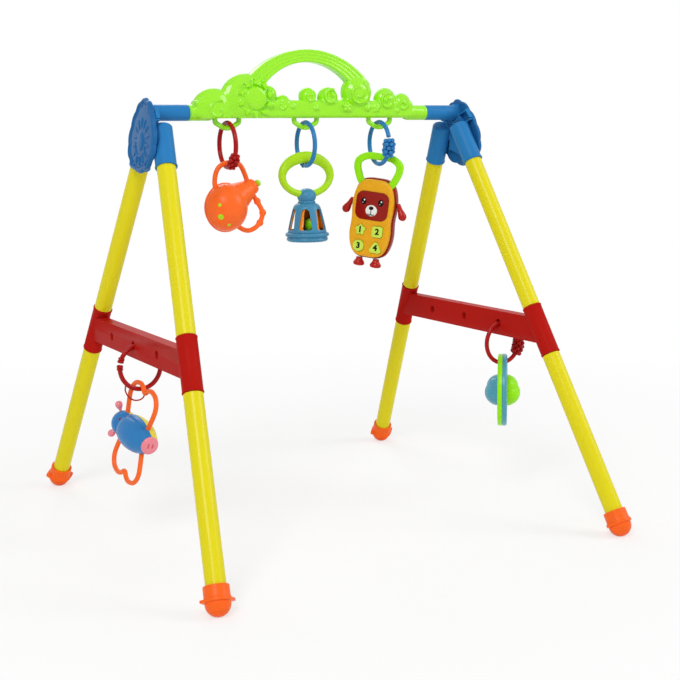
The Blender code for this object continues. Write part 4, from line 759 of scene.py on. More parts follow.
def ring_of(
    name: str,
    piece: Shape,
    count: int,
    radius: float,
    place: Matrix,
    finish: MouldedPlastic,
    phase: float = 0.0,
) -> Shape:
    """Copies of a piece round local Z, each with its own +X outwards.

    Args:
        name: the result's name.
        piece: a piece made round the origin, which is removed.
        count: how many copies.
        radius: how far out they sit.
        place: where the ring's middle and axis go.
        finish: their finish.
        phase: the first copy's angle.

    Returns:
        All the copies as a plain mesh.
    """
    pattern = PatternTree(name)
    number = pattern.size("Count", "Int", count)
    reach = pattern.size("Radius", "Float", radius)
    start = pattern.size("Phase", "Float", phase)
    copied = pattern.carried("Piece", piece)
    circle = pattern.node("GeometryNodeMeshCircle", Vertices=number, Radius=reach)
    index = pattern.node("GeometryNodeInputIndex")
    step = pattern.node("ShaderNodeMath", {"operation": "DIVIDE"}, _0=math.tau, _1=number)
    angle = pattern.node("ShaderNodeMath", {"operation": "MULTIPLY"}, _0=index.outputs[0], _1=step.outputs[0])
    turn = pattern.node("ShaderNodeCombineXYZ", Z=angle.outputs[0])
    circled = {"Points": circle.outputs[0], "Instance": copied, "Rotation": turn.outputs[0]}
    spread = pattern.node("GeometryNodeInstanceOnPoints", **circled)
    whole_turn = pattern.node("ShaderNodeCombineXYZ", Z=start)
    turned = pattern.node("GeometryNodeTransform", Geometry=spread.outputs[0], Rotation=whole_turn.outputs[0])
    made = pattern.grown(name, turned.outputs[0], finish)
    bpy.data.objects.remove(piece)
    made.data.transform(place)
    return made


@dataclass(frozen=True)
class Piece:
    """A finished mesh: its finish, the body it rides on, its slot and the CAD nodes it stands for."""

    shape: Shape
    finish: MouldedPlastic
    body: str
    slot: str
    nodes: tuple[str, ...] = ()

    def dress(self) -> None:
        """Gives the mesh its finish and body, and hides the CAD nodes it stands for."""
        self.shape.data.materials.clear()
        self.shape.data.materials.append(self.finish.material())
        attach(self.shape, self.body)
        if self.nodes:
            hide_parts(*self.nodes)
        LOG.info("%s: %d faces on %s", self.shape.name, len(self.shape.data.polygons), self.body)


@dataclass
class Assembly:
    """A sub-assembly, which builds its pieces first and dresses them afterwards."""

    pieces: list[Piece] = field(default_factory=list, init=False)

    def add(self, shape: Shape, finish: MouldedPlastic, body: str, slot: str, *nodes: str) -> None:
        """Keeps a piece that is built, for dressing.

        Args:
            shape: the mesh, at the origin with its place in its points.
            finish: its finish.
            body: the CAD body it rides on.
            slot: the record's material slot.
            nodes: the CAD nodes it stands for.
        """
        self.pieces.append(Piece(shape, finish, body, slot, nodes))

    def hang(self, place: Matrix) -> None:
        """Moves the pieces kept so far, which are built round a toy's own origin, to where it hangs."""
        for piece in self.pieces:
            piece.shape.data.transform(place)

    def build(self) -> None:
        """Builds the pieces."""
        raise NotImplementedError

    def dress(self) -> None:
        """Dresses every piece."""
        for piece in self.pieces:
            piece.dress()


@dataclass(frozen=True)
class LegLines:
    """The axes of the four legs, which meet in pairs above the ends of the bar."""

    foot_x: float = 0.261
    foot_y: float = 0.2936
    apex_x: float = 0.200
    apex_z: float = 0.5245

    @property
    def tilt(self) -> float:
        """How far each A-frame leans inwards, in radians."""
        return math.atan2(self.foot_x - self.apex_x, self.apex_z)

    def x_at(self, height: float) -> float:
        """How far out the plane of an A-frame is at a height."""
        return self.foot_x + (self.apex_x - self.foot_x) * height / self.apex_z

    def y_at(self, height: float) -> float:
        """How far from the middle a leg's axis is at a height."""
        return self.foot_y * (1 - height / self.apex_z)

    def along(self, height: float) -> float:
        """Distance up a leg's axis from the floor to a height."""
        run = math.hypot(self.foot_x - self.apex_x, self.foot_y)
        return height * math.hypot(1.0, run / self.apex_z)

    def frame(self, side: Side, end: End) -> Matrix:
        """A leg's own frame: the origin on the floor, Z up its axis and X across it."""
        foot = Vector((side.value * self.foot_x, end.value * self.foot_y, 0.0))
        apex = Vector((side.value * self.apex_x, 0.0, self.apex_z))
        up = (apex - foot).normalized()
        back = up.cross(Vector((1.0, 0.0, 0.0))).normalized()
        turn = Matrix((back.cross(up), back, up)).transposed().to_4x4()
        return Matrix.Translation(foot) @ turn

    def plane(self, side: Side, height: float, outwards: float = 0.0) -> Matrix:
        """An A-frame's plane: X to the rear, Y up the plane and Z outwards.

        Args:
            side: the A-frame.
            height: where the origin is.
            outwards: how far the origin stands off the legs' axes.

        Returns:
            The frame as a matrix. On the left X runs to the front, so that it stays right-handed.
        """
        tilt = Matrix.Rotation(-side.value * self.tilt, 4, "Y")
        turn = Matrix.Rotation(side.value * math.pi / 2, 4, "Y") @ Matrix.Rotation(side.value * math.pi / 2, 4, "Z")
        spot = Matrix.Translation((side.value * self.x_at(height), 0.0, height))
        return spot @ tilt @ turn @ Matrix.Translation((0, 0, outwards))


LEGS = LegLines()


@dataclass
class TubeLegs(Assembly):
    """Eight yellow tubes: a lower and an upper one in each leg."""

    diameter: float = 0.022
    wall: float = 0.0015
    lip: float = 0.0005
    foot_seat: float = 0.0129
    beam_z: float = BEAM_Z
    collar_half: float = COLLAR_HALF
    gap: float = 0.0003
    hub_socket_z: float = HUB_SOCKET_Z
    hub_depth: float = TUBE_DEPTH

    def tube(self, name: str, place: Matrix, low: float, high: float) -> Shape:
        """One tube between two distances along its leg."""
        outer, bore, lip = self.diameter / 2, self.diameter / 2 - self.wall, self.lip
        profile = (
            (outer - lip, high), (outer, high - lip), (outer, low + lip), (outer - lip, low), (bore, low),
            (bore, high),
        )
        return lathe(name, profile, place, 72)

    def build(self) -> None:
        """Builds both tubes of every leg."""
        middle = LEGS.along(self.beam_z)
        spans = {
            "lower": (LEGS.along(self.foot_seat) + 0.0012, middle - self.collar_half - self.gap),
            "upper": (middle + self.collar_half + self.gap, LEGS.along(self.hub_socket_z) + self.hub_depth),
        }
        for side in Side:
            for end in End:
                for level, (low, high) in spans.items():
                    node = f"{side.name}_{end.name}_{level}_tube".lower()
                    shape = self.tube(f"{node}_skin", LEGS.frame(side, end), low, high)
                    self.add(shape, YELLOW_TUBE, "frame", "yellow_tube", node)


@dataclass
class Feet(Assembly):
    """Four orange cups, each with a brim, two pointed ears and a dome that stands on the floor."""

    centre_z: float = 0.0129
    dome_d: float = 0.0274
    sleeve_d: float = 0.0278
    sleeve_height: float = 0.018
    seat_d: float = 0.0226
    brim_d: float = 0.031
    brim_low: float = 0.0014
    brim_thickness: float = 0.0028
    ear_span: float = 0.0386
    ear_bearing: float = math.radians(34)

    def brim_outline(self) -> Outline:
        """A circle drawn out into a point on either side."""
        outline = []
        for k in range(96):
            angle = math.tau * k / 96
            away = abs(math.asin(math.sin(angle)))
            point = max(0.0, 1 - away / self.ear_bearing) ** 1.7
            reach = self.brim_d / 2 + (self.ear_span - self.brim_d) / 2 * point
            outline.append((reach * math.cos(angle), reach * math.sin(angle)))
        return outline

    def cup(self, name: str) -> Shape:
        """The cup in its leg's frame, with Z = 0 at the dome's centre."""
        dome, seat, sleeve = self.dome_d / 2, self.seat_d / 2, self.sleeve_d / 2
        top = self.sleeve_height
        profile = [
            (0.0, 0.0009), (seat, 0.0009), (seat, top - 0.0004), (seat + 0.0004, top), (sleeve - 0.0006, top),
            (sleeve - 0.0001, top - 0.0006), (sleeve, 0.0075), (sleeve + 0.0003, 0.0056),
            (sleeve + 0.0010, 0.0044), (sleeve + 0.0010, 0.0030), (dome + 0.0004, 0.0016), (dome, 0.0006),
        ]
        profile += [(dome * math.cos(math.pi * k / 32), -dome * math.sin(math.pi * k / 32)) for k in range(17)]
        return lathe(name, [(r if r > 1e-6 else 0.0, z) for r, z in profile], None, 64)

    def build(self) -> None:
        """Builds the four feet and trims their domes flat on the floor."""
        for side in Side:
            for end in End:
                node = f"{side.name}_{end.name}_foot".lower()
                cup = self.cup(f"{node}_cup")
                brim = plate("brim", [self.brim_outline()], self.brim_thickness, None, 0.0008)
                brim.data.transform(Matrix.Translation((0, 0, self.brim_low)))
                seat = lathe("seat", column(self.seat_d / 2, 0.0009, 0.03))
                brim = solid(brim, [seat], "DIFFERENCE")
                cup = solid(cup, [brim], "UNION")
                round_over(cup, 0.0005, 2, 50)
                cup = settled(cup)
                cup.data.transform(LEGS.frame(side, end) @ Matrix.Translation((0, 0, LEGS.along(self.centre_z))))
                cup = sliced(cup, f"{node}_cup", (0, 0, 0), (0, 0, -1))
                self.add(cup, ORANGE_FOOT, "frame", "orange_foot", node)


@dataclass
class Crossbars(Assembly):
    """Two red channels between leg collars, each with three bushed holes."""

    z: float = BEAM_Z
    height: float = 0.0313
    width: float = 0.016
    wall: float = 0.0022
    edge: float = 0.0009
    collar_d: float = 0.0234
    collar_half: float = COLLAR_HALF
    collar_lip: float = 0.0005
    hole_d: float = 0.0096
    hole_spacing: float = 0.080
    boss_wall: float = 0.0020
    spigot_d: float = 0.0184
    spigot_reach: float = 0.0484
    bore_d: float = 0.0148

    def across(self, side: Side, y: float) -> Matrix:
        """A frame on a hole's axis, with Z along X."""
        return Matrix.Translation((side.value * LEGS.x_at(self.z), y, self.z)) @ Matrix.Rotation(math.pi / 2, 4, "Y")

    def channel(self, name: str, side: Side) -> Shape:
        """The beam, open below, with a rib between each pair of holes."""
        x, half, reach = side.value * LEGS.x_at(self.z), self.width / 2, LEGS.y_at(self.z)
        low, high = self.z - self.height / 2, self.z + self.height / 2
        beam = block(name, (x - half, -reach, low), (x + half, reach, high), self.edge)
        inner = reach - self.collar_d * 0.72
        cavity = block(
            "cavity",
            (x - half + self.wall, -inner, low - 0.01), (x + half - self.wall, inner, high - self.wall),
            self.edge,
        )
        beam = solid(beam, [cavity], "DIFFERENCE")
        ribs = []
        for sign in (-1, 1):
            y = sign * self.hole_spacing / 2
            ribs.append(
                block(
                    f"rib_{sign}",
                    (x - half + self.wall / 2, y - self.wall / 2, low + 0.003),
                    (x + half - self.wall / 2, y + self.wall / 2, high - self.wall / 2),
                )
            )
        for k in (-1, 0, 1):
            radius, inside = self.hole_d / 2 + self.boss_wall, half - self.wall / 2
            boss = column(radius, -inside, inside)
            ribs.append(lathe(f"boss_{k}", boss, self.across(side, k * self.hole_spacing), 48))
        return solid(beam, ribs, "UNION")

    def collar(self, name: str, side: Side, end: End) -> Shape:
        """A collar with the spigots that enter its two tubes."""
        half, reach, lip = self.collar_half, self.spigot_reach, self.collar_lip
        outer, spigot = self.collar_d / 2, self.spigot_d / 2
        upper = [
            (0.0, reach), (spigot, reach), (spigot, half), (outer - 0.0001, half), (outer + lip, half - 0.0005),
            (outer + lip, half - 0.0014), (outer, half - 0.0024),
        ]
        lower = [(radius, -height) for radius, height in reversed(upper)]
        middle = LEGS.along(self.z)
        return lathe(name, [(r, middle + h) for r, h in upper + lower], LEGS.frame(side, end), 64)

    def drills(self, side: Side) -> list[Shape]:
        """Cutters for the three holes, with a softened edge, and for the two bores."""
        tools = []
        far, mouth = self.width, self.width / 2
        for k in (-1, 0, 1):
            radius = self.hole_d / 2
            upper = [(0, far), (radius + 0.0006, far), (radius + 0.0006, mouth), (radius, mouth - 0.0006)]
            profile = upper + [(r, -h) for r, h in reversed(upper)]
            tools.append(lathe(f"drill_{k}", profile, self.across(side, k * self.hole_spacing), 48))
        for end in End:
            middle, reach, radius = LEGS.along(self.z), self.spigot_reach + 0.001, self.bore_d / 2
            bore = column(radius, middle - reach, middle + reach)
            tools.append(lathe(f"bore_{end.value}", bore, LEGS.frame(side, end), 48))
        return tools

    def build(self) -> None:
        """Builds both crossbars."""
        for side in Side:
            node = f"{side.name}_crossbar".lower()
            beam = self.channel(f"{node}_moulding", side)
            beam = solid(beam, [self.collar(f"collar_{end.value}", side, end) for end in End], "UNION")
            beam = solid(beam, self.drills(side), "DIFFERENCE")
            self.add(beam, RED_JOINT, "frame", "red_connector", node)


@dataclass
class Hubs(Assembly):
    """Two blue hubs: leg and bar sockets run together with a web, under a plate with rays in relief."""

    socket_d: float = 0.0248
    rim_d: float = 0.0262
    rim_height: float = 0.0022
    socket_z: float = HUB_SOCKET_Z
    tube_depth: float = TUBE_DEPTH
    cap: float = 0.006
    seat_d: float = 0.0226
    web: float = 0.005
    web_off: float = 0.0080
    web_half: float = 0.022
    web_drop: float = 0.056
    ridges: int = 5
    ridge_first: float = 0.0125
    ridge_step: float = 0.0027
    ridge_r: float = 0.0009
    ridge_z: float = -0.0022
    rib_z: float = 0.0105
    rib_half: float = 0.0008
    rib_depth: float = 0.0028
    rib_lines: tuple[tuple[float, float, float, float], ...] = (
        (0.003, 0.022, 0.027, 0.029), (0.026, 0.031, 0.035, 0.020), (0.009, 0.024, 0.015, 0.012),
        (0.015, 0.012, 0.035, 0.018),
    )
    bar_z: float = BAR_Z
    bar_face: float = 0.1637
    bar_end: float = 0.212
    bar_d: float = 0.019
    bar_bore_d: float = 0.0156
    bar_bore_depth: float = 0.0266
    cover_height: float = 0.0855
    cover_width: float = 0.086
    cover_z: float = 0.4785
    cover_thickness: float = 0.0034
    cover_taper: float = 0.24
    medallion_y: float = -0.007
    rays: int = 14
    rays_reach: float = 0.0215
    lobes: int = 12
    lobe_depth: float = 0.0011
    bead: float = 0.0019
    grain: float = 0.00055

    def sockets(self, side: Side) -> list[Shape]:
        """Both leg sockets, the bar socket and the web, as closed shapes that overlap."""
        socket = LEGS.along(self.socket_z)
        top = socket + self.tube_depth + self.cap
        radius, rim, lip = self.socket_d / 2, self.rim_d / 2, self.rim_height
        profile = (
            (0.0, top + 0.0016), (radius - 0.0016, top + 0.0014), (radius, top - 0.0004),
            (radius, socket + lip + 0.0012), (rim - 0.0003, socket + lip), (rim, socket + lip - 0.0006),
            (rim, socket), (0.0, socket),
        )
        shapes = [lathe(f"socket_{end.value}", profile, LEGS.frame(side, end), 64) for end in End]
        sleeve, face = self.bar_d / 2, self.bar_face
        bar = ((0, self.bar_end), (sleeve, self.bar_end), (sleeve, face + 0.0006), (sleeve - 0.0006, face), (0, face))
        shapes.append(lathe("bar_socket", bar, along_bar(side, self.bar_z), 64))
        plane = LEGS.plane(side, self.bar_z, self.web_off)
        shapes.append(plate("web", [self.web_outline()], self.web, plane))
        bend = [math.pi * (1.22 + 0.56 * step / 20) for step in range(21)]
        for k in range(self.ridges):
            reach = self.ridge_first + self.ridge_step * k
            arc = [(reach * math.cos(a), reach * math.sin(a), 0.0) for a in bend]
            place = plane @ Matrix.Translation((0, 0, self.ridge_z))
            shapes.append(wire(f"ridge_{k}", arc, self.ridge_r, False, 3, place))
        return shapes

    def web_outline(self) -> Outline:
        """The web fills the crotch of the sockets and ends in a scalloped edge."""
        half, drop = self.web_half, self.web_drop
        lower = [(half * (1 - k / 12), -drop + 0.006 * abs(math.cos(math.pi * k / 24))) for k in range(25)]
        return [(-0.006, 0.010), (0.006, 0.010), *lower]

    def ribs(self, side: Side) -> list[Shape]:
        """The plates that box in two pockets beside the bar socket."""
        plane = LEGS.plane(side, self.cover_z, 0.0)
        shapes = []
        for sign in (-1, 1):
            for k, (x0, y0, x1, y1) in enumerate(self.rib_lines):
                start, stop = Vector((sign * x0, y0)), Vector((sign * x1, y1))
                length = (stop - start).length
                bearing = math.atan2(stop.y - start.y, stop.x - start.x)
                middle = ((start.x + stop.x) / 2, (start.y + stop.y) / 2, self.rib_z)
                place = plane @ Matrix.Translation(middle)
                corner = Vector((length / 2, self.rib_half, self.rib_depth))
                rib = block(f"rib_{sign}_{k}", -corner, corner)
                rib.data.transform(place @ Matrix.Rotation(bearing, 4, "Z"))
                shapes.append(rib)
        return shapes

    def bores(self, side: Side) -> list[Shape]:
        """Cutters for the tubes' seats and for the bar's spigot."""
        socket = LEGS.along(self.socket_z)
        radius, top = self.seat_d / 2, socket + self.tube_depth + 0.0003
        seat = column(radius, socket - 0.004, top)
        tools = [lathe(f"seat_{end.value}", seat, LEGS.frame(side, end), 64) for end in End]
        face = self.bar_face
        bore = column(self.bar_bore_d / 2, face - 0.004, face + self.bar_bore_depth)
        return [*tools, lathe("bar_bore", bore, along_bar(side, self.bar_z), 64)]

    def cover_outline(self, inset: float = 0.0) -> Outline:
        """An egg outline, broad at the bottom, with shallow lobes round its edge."""
        outline = []
        for k in range(240):
            angle = math.tau * k / 240
            lobe = self.lobe_depth * (2 * abs(math.cos(self.lobes / 2 * angle)) - 1)
            width = self.cover_width / 2 - inset + lobe
            across = width * math.sin(angle) * (1 - self.cover_taper * math.cos(angle))
            outline.append((across, (self.cover_height / 2 - inset + lobe) * math.cos(angle)))
        return outline

    def cover(self, name: str) -> Shape:
        """The plate in its own frame: a crowned face inside a rounded edge."""
        levels = (
            (0.0006, 0.0), (0.0, 0.0006), (0.0, 0.0026), (0.0007, 0.0034), (0.0040, 0.0034), (0.0150, 0.0040),
            (0.0290, 0.0043), (0.0400, 0.0044),
        )
        rings = [[Vector((*point, level)) for point in self.cover_outline(inset)] for inset, level in levels]
        return skin(name, rings)

    def cover_relief(self) -> list[Shape]:
        """What stands on the plate but the rays: two beads round its edge, a medallion and two arcs below it."""
        top = self.cover_thickness
        raised = [wire("rim", [(*p, top) for p in self.cover_outline(0.0026)], self.bead, True, 4)]
        crinkle = [(*p, top + 0.0003) for p in self.cover_outline(0.0075)]
        raised.append(wire("inner_rim", crinkle, self.bead * 0.42, True, 3))
        disc = ((0, 0.0066), (0.0085, 0.0062), (0.0112, 0.0050), (0.0118, 0.003), (0, 0.003))
        raised.append(lathe("medallion", disc, Matrix.Translation((0, self.medallion_y, 0)), 64))
        for name, reach, y, step, proud, radius in (
            ("arc", 0.0175, self.medallion_y, 0.11, 0.0009, 0.0011),
            ("lower_arc", 0.0300, -0.012, 0.07, 0.0008, 0.0009),
        ):
            bend = ((k - 14) * step for k in range(29))
            arc = [(reach * math.sin(a), y - reach * math.cos(a), top + proud) for a in bend]
            raised.append(wire(name, arc, radius, False, 4))
        return raised

    def sunburst(self) -> Shape:
        """A ring of drop-shaped rays round the medallion."""
        ray = ball("ray", (0.0065, 0.0016, 0.0012), None, 16)
        middle = Matrix.Translation((0, self.medallion_y, self.cover_thickness + 0.0010))
        return ring_of("rays", ray, self.rays, self.rays_reach, middle, BLUE_PLATE, math.pi / self.rays)

    def build(self) -> None:
        """Builds both hubs and their plates."""
        stand_off = self.socket_d / 2 + 0.0003
        for side in Side:
            node = f"{side.name}_hub".lower()
            plane = LEGS.plane(side, self.cover_z, stand_off)
            body = melted(f"{node}_moulding", self.sockets(side) + self.ribs(side), self.grain, 3, 0.6)
            body = sliced(body, f"{node}_moulding", plane.translation, plane.to_3x3() @ Vector((0, 0, 1)))
            body = solid(body, self.bores(side), "DIFFERENCE")
            self.add(body, BLUE_HUB, "frame", "blue_hub", node)
            parts = [self.cover("plate"), *self.cover_relief(), self.sunburst()]
            cover = melted(f"{node}_cover_moulding", parts, 0.0004, 2, 0.5)
            cover = sliced(cover, f"{node}_cover_moulding", (0, 0, 0.0002), (0, 0, -1))
            cover.data.transform(plane)
            self.add(cover, BLUE_PLATE, "frame", "blue_hub", f"{node}_cover")


@dataclass
class CloudBar(Assembly):
    """The lime bar in two mouldings: clouds, a sun, a wave, a swirled ball and a ridged rainbow, with loops."""

    z: float = BAR_Z
    half_length: float = 0.1634
    sleeve_d: float = 0.019
    sleeve_length: float = 0.026
    spigot_d: float = 0.0150
    spigot_length: float = 0.026
    bottom: float = -0.0066
    top: float = 0.0150
    depth: float = 0.0190
    outer_r: float = 0.111
    inner_r: float = 0.077
    arch_top: float = 0.0763
    arch_band: float = 0.0152
    arch_x: float = -0.0065
    arch_depth: float = 0.0160
    arch_spread: float = math.radians(51)
    ridges: int = 4
    ridge_depth: float = 0.0013
    sun_x: float = -0.0813
    sun_height: float = 0.0165
    sun_d: float = 0.0280
    sun_face: float = 0.0150
    loop_spacing: float = 0.105
    loop_middle: float = -0.009
    loop_width: float = 0.0308
    loop_rod_d: float = 0.0062
    loop_drop: float = 0.0180
    seam: float = 0.0003
    grain: float = 0.00085
    flames: int = 10
    petals: int = 5
    curl_steps: int = 40
    curl_start: float = math.pi * 0.35
    curl_closing: float = 0.78
    curl_rise: float = 0.0015
    dot_face: float = 0.0095

    def front(self, x: float, height: float, reach: float = 0.0) -> Matrix:
        """A frame at a place on the bar: local X along it, Y up and Z to the front."""
        return towards_front((x, -reach, self.z + height))

    def puffs(self) -> list[Shape]:
        """The swellings along the bar."""
        # Each is (x, height, radius, depth).
        sizes = (
            (-0.1310, 0.0000, 0.0290, 0.0115), (-0.0890, 0.0120, 0.0347, 0.0140),
            (-0.0595, 0.0215, 0.0110, 0.0105), (-0.0405, 0.0120, 0.0097, 0.0100),
            (-0.0063, 0.0200, 0.0108, 0.0105), (0.0220, 0.0180, 0.0134, 0.0110),
            (0.0626, 0.0253, 0.0206, 0.0150), (0.0480, 0.0060, 0.0130, 0.0120),
            (0.1042, 0.0160, 0.0152, 0.0115), (0.1285, 0.0120, 0.0126, 0.0105),
        )
        floor = (0.0, 0.0, self.z + self.bottom)
        shapes = []
        for k, (x, height, radius, depth) in enumerate(sizes):
            puff = ball(f"puff_{k}", (radius, radius, depth), self.front(x, height), 56)
            low = height - radius < self.bottom
            shapes.append(sliced(puff, f"puff_{k}", floor, (0, 0, -1)) if low else puff)
        return shapes

    def rainbow(self) -> Shape:
        """The arch, with rounded ridges front and back."""
        outer_centre = self.arch_top - self.outer_r
        inner_centre = self.arch_top - self.arch_band - self.inner_r
        rings = []
        for k in range(73):
            angle = self.arch_spread * (1 - 2 * k / 72)
            outer = Vector((self.outer_r * math.sin(angle), outer_centre + self.outer_r * math.cos(angle)))
            inner = Vector((self.inner_r * math.sin(angle), inner_centre + self.inner_r * math.cos(angle)))
            ring = []
            for face in (-1, 1):
                steps = list(range(8 * self.ridges + 1))
                for step in steps if face < 0 else reversed(steps):
                    share = step / (8 * self.ridges)
                    place = inner.lerp(outer, share)
                    groove = self.ridge_depth * (1 - abs(math.sin(math.pi * share * self.ridges)) ** 0.5)
                    ring.append((self.arch_x + place[0], face * (self.arch_depth / 2 - groove), self.z + place[1]))
            rings.append([Vector(point) for point in ring])
        return skin("rainbow", rings)

    def core(self) -> list[Shape]:
        """The straight bar inside the swellings, with a sleeve and a spigot at either end."""
        half, depth = self.half_length, self.depth / 2
        low = (-half + 0.006, -depth, self.z + self.bottom)
        tip, inner = half + self.spigot_length, half - self.sleeve_length
        spigot, sleeve = self.spigot_d / 2, self.sleeve_d / 2
        shapes = [block("core", low, (inner + sleeve / 2, depth, self.z + self.top), 0.004)]
        for side in Side:
            profile = (
                (0, tip), (spigot - 0.001, tip), (spigot, tip - 0.001), (spigot, half), (sleeve - 0.0004, half),
                (sleeve, half - 0.0004), (sleeve, half - 0.0046), (sleeve - 0.0004, half - 0.0050),
                (sleeve - 0.0004, half - 0.0056), (sleeve, half - 0.0060), (sleeve, inner),
                (sleeve * 0.8, inner - 0.006), (0, inner - 0.006),
            )
            shapes.append(lathe(f"sleeve_{side.value}", profile, along_bar(side, self.z), 64))
        return shapes

    def sun(self) -> list[Shape]:
        """A disc with a sunk edge line and ten flame-like rays."""
        face, radius = self.sun_face, self.sun_d / 2
        disc = (
            (0, face + 0.0019), (radius * 0.5, face + 0.0017), (radius * 0.80, face + 0.0011),
            (radius * 0.86, face + 0.0005), (radius * 0.90, face + 0.0009), (radius, face - 0.0010),
            (radius, 0.004), (0, 0.004),
        )
        shapes = [lathe("sun_disc", disc, self.front(self.sun_x, self.sun_height), 64)]
        outline = (
            (-0.0015, -0.0032), (0.0016, -0.0036), (0.0050, -0.0008), (0.0062, 0.0030), (0.0034, 0.0016),
            (0.0004, 0.0032),
        )
        flame = plate("flame", [smooth_path(outline, 5, True)], 0.0100)
        place = self.front(self.sun_x, self.sun_height, face - 0.0095)
        shapes.append(ring_of("flames", flame, self.flames, radius + 0.0034, place, GREEN_CLOUD, 0.3))
        return shapes

    def curls(self) -> list[Shape]:
        """The wave's curl, the ball's swirl, two flowers, cloud curls and dots in relief."""
        shapes = []
        # Each is (x, height, radius, how far forward, turns, wire radius, sense).
        turns = (
            (0.0222, 0.0185, 0.0102, 0.0102, 1.15, 0.0019, 1),
            (-0.0063, 0.0195, 0.0078, 0.0092, 1.1, 0.0014, -1),
            (0.0600, 0.0235, 0.0150, 0.0132, 1.5, 0.0015, -1), (0.1030, 0.0140, 0.0104, 0.0108, 1.4, 0.0014, 1),
            (0.1260, 0.0105, 0.0080, 0.0098, 1.2, 0.0013, -1),
            (-0.1290, 0.0020, 0.0130, 0.0108, 0.9, 0.0012, 1),
            (-0.0455, 0.0090, 0.0078, 0.0094, 0.9, 0.0012, -1),
        )
        for k, (x, height, reach, out, winds, thick, sense) in enumerate(turns):
            path = []
            for step in range(self.curl_steps):
                share = step / (self.curl_steps - 1)
                angle = sense * math.tau * winds * share + self.curl_start
                radius = reach * (1 - self.curl_closing * share)
                path.append((radius * math.cos(angle), radius * math.sin(angle), self.curl_rise * share))
            shapes.append(wire(f"curl_{k}", path, thick, False, 4, self.front(x, height, out)))
        flowers = ((0.0440, 0.0070, 0.0040, 0.0112), (0.0860, 0.0055, 0.0034, 0.0096))
        for k, (x, height, size, out) in enumerate(flowers):
            petal = ball(f"petal_{k}", (size * 0.8, size * 0.62, 0.0022), None, 16)
            place = self.front(x, height, out)
            shapes.append(ring_of(f"flower_{k}", petal, self.petals, size, place, GREEN_CLOUD, 0.31))
            shapes.append(ball(f"heart_{k}", (size * 0.5, size * 0.5, 0.0026), place, 16))
        dots = ((0.0735, 0.0060, 0.0048), (-0.0300, 0.0070, 0.0030), (0.0015, 0.0050, 0.0034), (0.1180, 0.0020, 0.0030))
        for k, (x, height, size) in enumerate(dots):
            shapes.append(ball(f"dot_{k}", (size, size, size * 0.7), self.front(x, height, self.dot_face), 20))
        return shapes

    def loop(self, middle: float) -> Shape:
        """One hanging loop under the bar."""
        half, drop = self.loop_width / 2, self.loop_drop
        shape = (
            (-half, -0.002), (-half, -0.0100), (-half * 0.86, -0.0128), (-half * 0.34, -drop + 0.0009),
            (0.0, -drop),
        )
        points = [*shape, *((-x, height) for x, height in reversed(shape[:-1]))]
        path = smooth_path([(middle + x, 0.0, self.z + height) for x, height in points], 6)
        return wire(f"loop_{middle:.3f}", path, self.loop_rod_d / 2, False, 6)

    def build(self) -> None:
        """Melts the shapes into one moulding, trims its underside and parts it at its middle plane."""
        shapes = [*self.core(), *self.puffs(), self.rainbow(), *self.sun(), *self.curls()]
        whole = melted("bar", shapes, self.grain, 2, 0.55)
        inner = self.half_length - self.sleeve_length - 0.004
        under = block("under", (-inner, -0.05, self.z - 0.05), (inner, 0.05, self.z + self.bottom))
        whole = solid(whole, [under], "DIFFERENCE")
        names = ("cloud_bar_back_moulding", "cloud_bar_front_moulding")
        back, front_half = halved(whole, names, towards_front(), self.seam)
        loops = [self.loop(self.loop_middle + k * self.loop_spacing) for k in (-1, 0, 1)]
        self.add(front_half, GREEN_CLOUD, "frame", "cloud_green", "cloud_bar_front")
        self.add(merged(names[0], [back, *loops]), GREEN_CLOUD, "frame", "cloud_green", "cloud_bar_back")


class Bunch(Enum):
    """The bead bunch on a link's end, as (rows, beads to a row, bead radius, spacing, reach)."""

    FULL = (5, 6, 0.0024, 0.0040, 0.0046)
    LARGE = (5, 6, 0.0028, 0.0042, 0.0058)
    SMALL = (2, 4, 0.0020, 0.0030, 0.0021)


@dataclass(frozen=True)
class Link:
    """One link ring.

    Attributes:
        toy: which toy hangs in it.
        top: the middle of its wire at the top.
        sideways: the direction across the ring.
        gap_at: where it opens, in radians from its top.
        ends: for each bead bunch, the side of the gap and its kind.
        finish: its plastic.
        slot: its material slot.
        strand: the course of a thin strand under it, from the ring's middle.
    """

    toy: str
    top: tuple[float, float, float]
    sideways: tuple[float, float, float]
    gap_at: float
    ends: tuple[tuple[int, Bunch], ...]
    finish: MouldedPlastic
    slot: str
    strand: tuple[tuple[float, float], ...] = ()


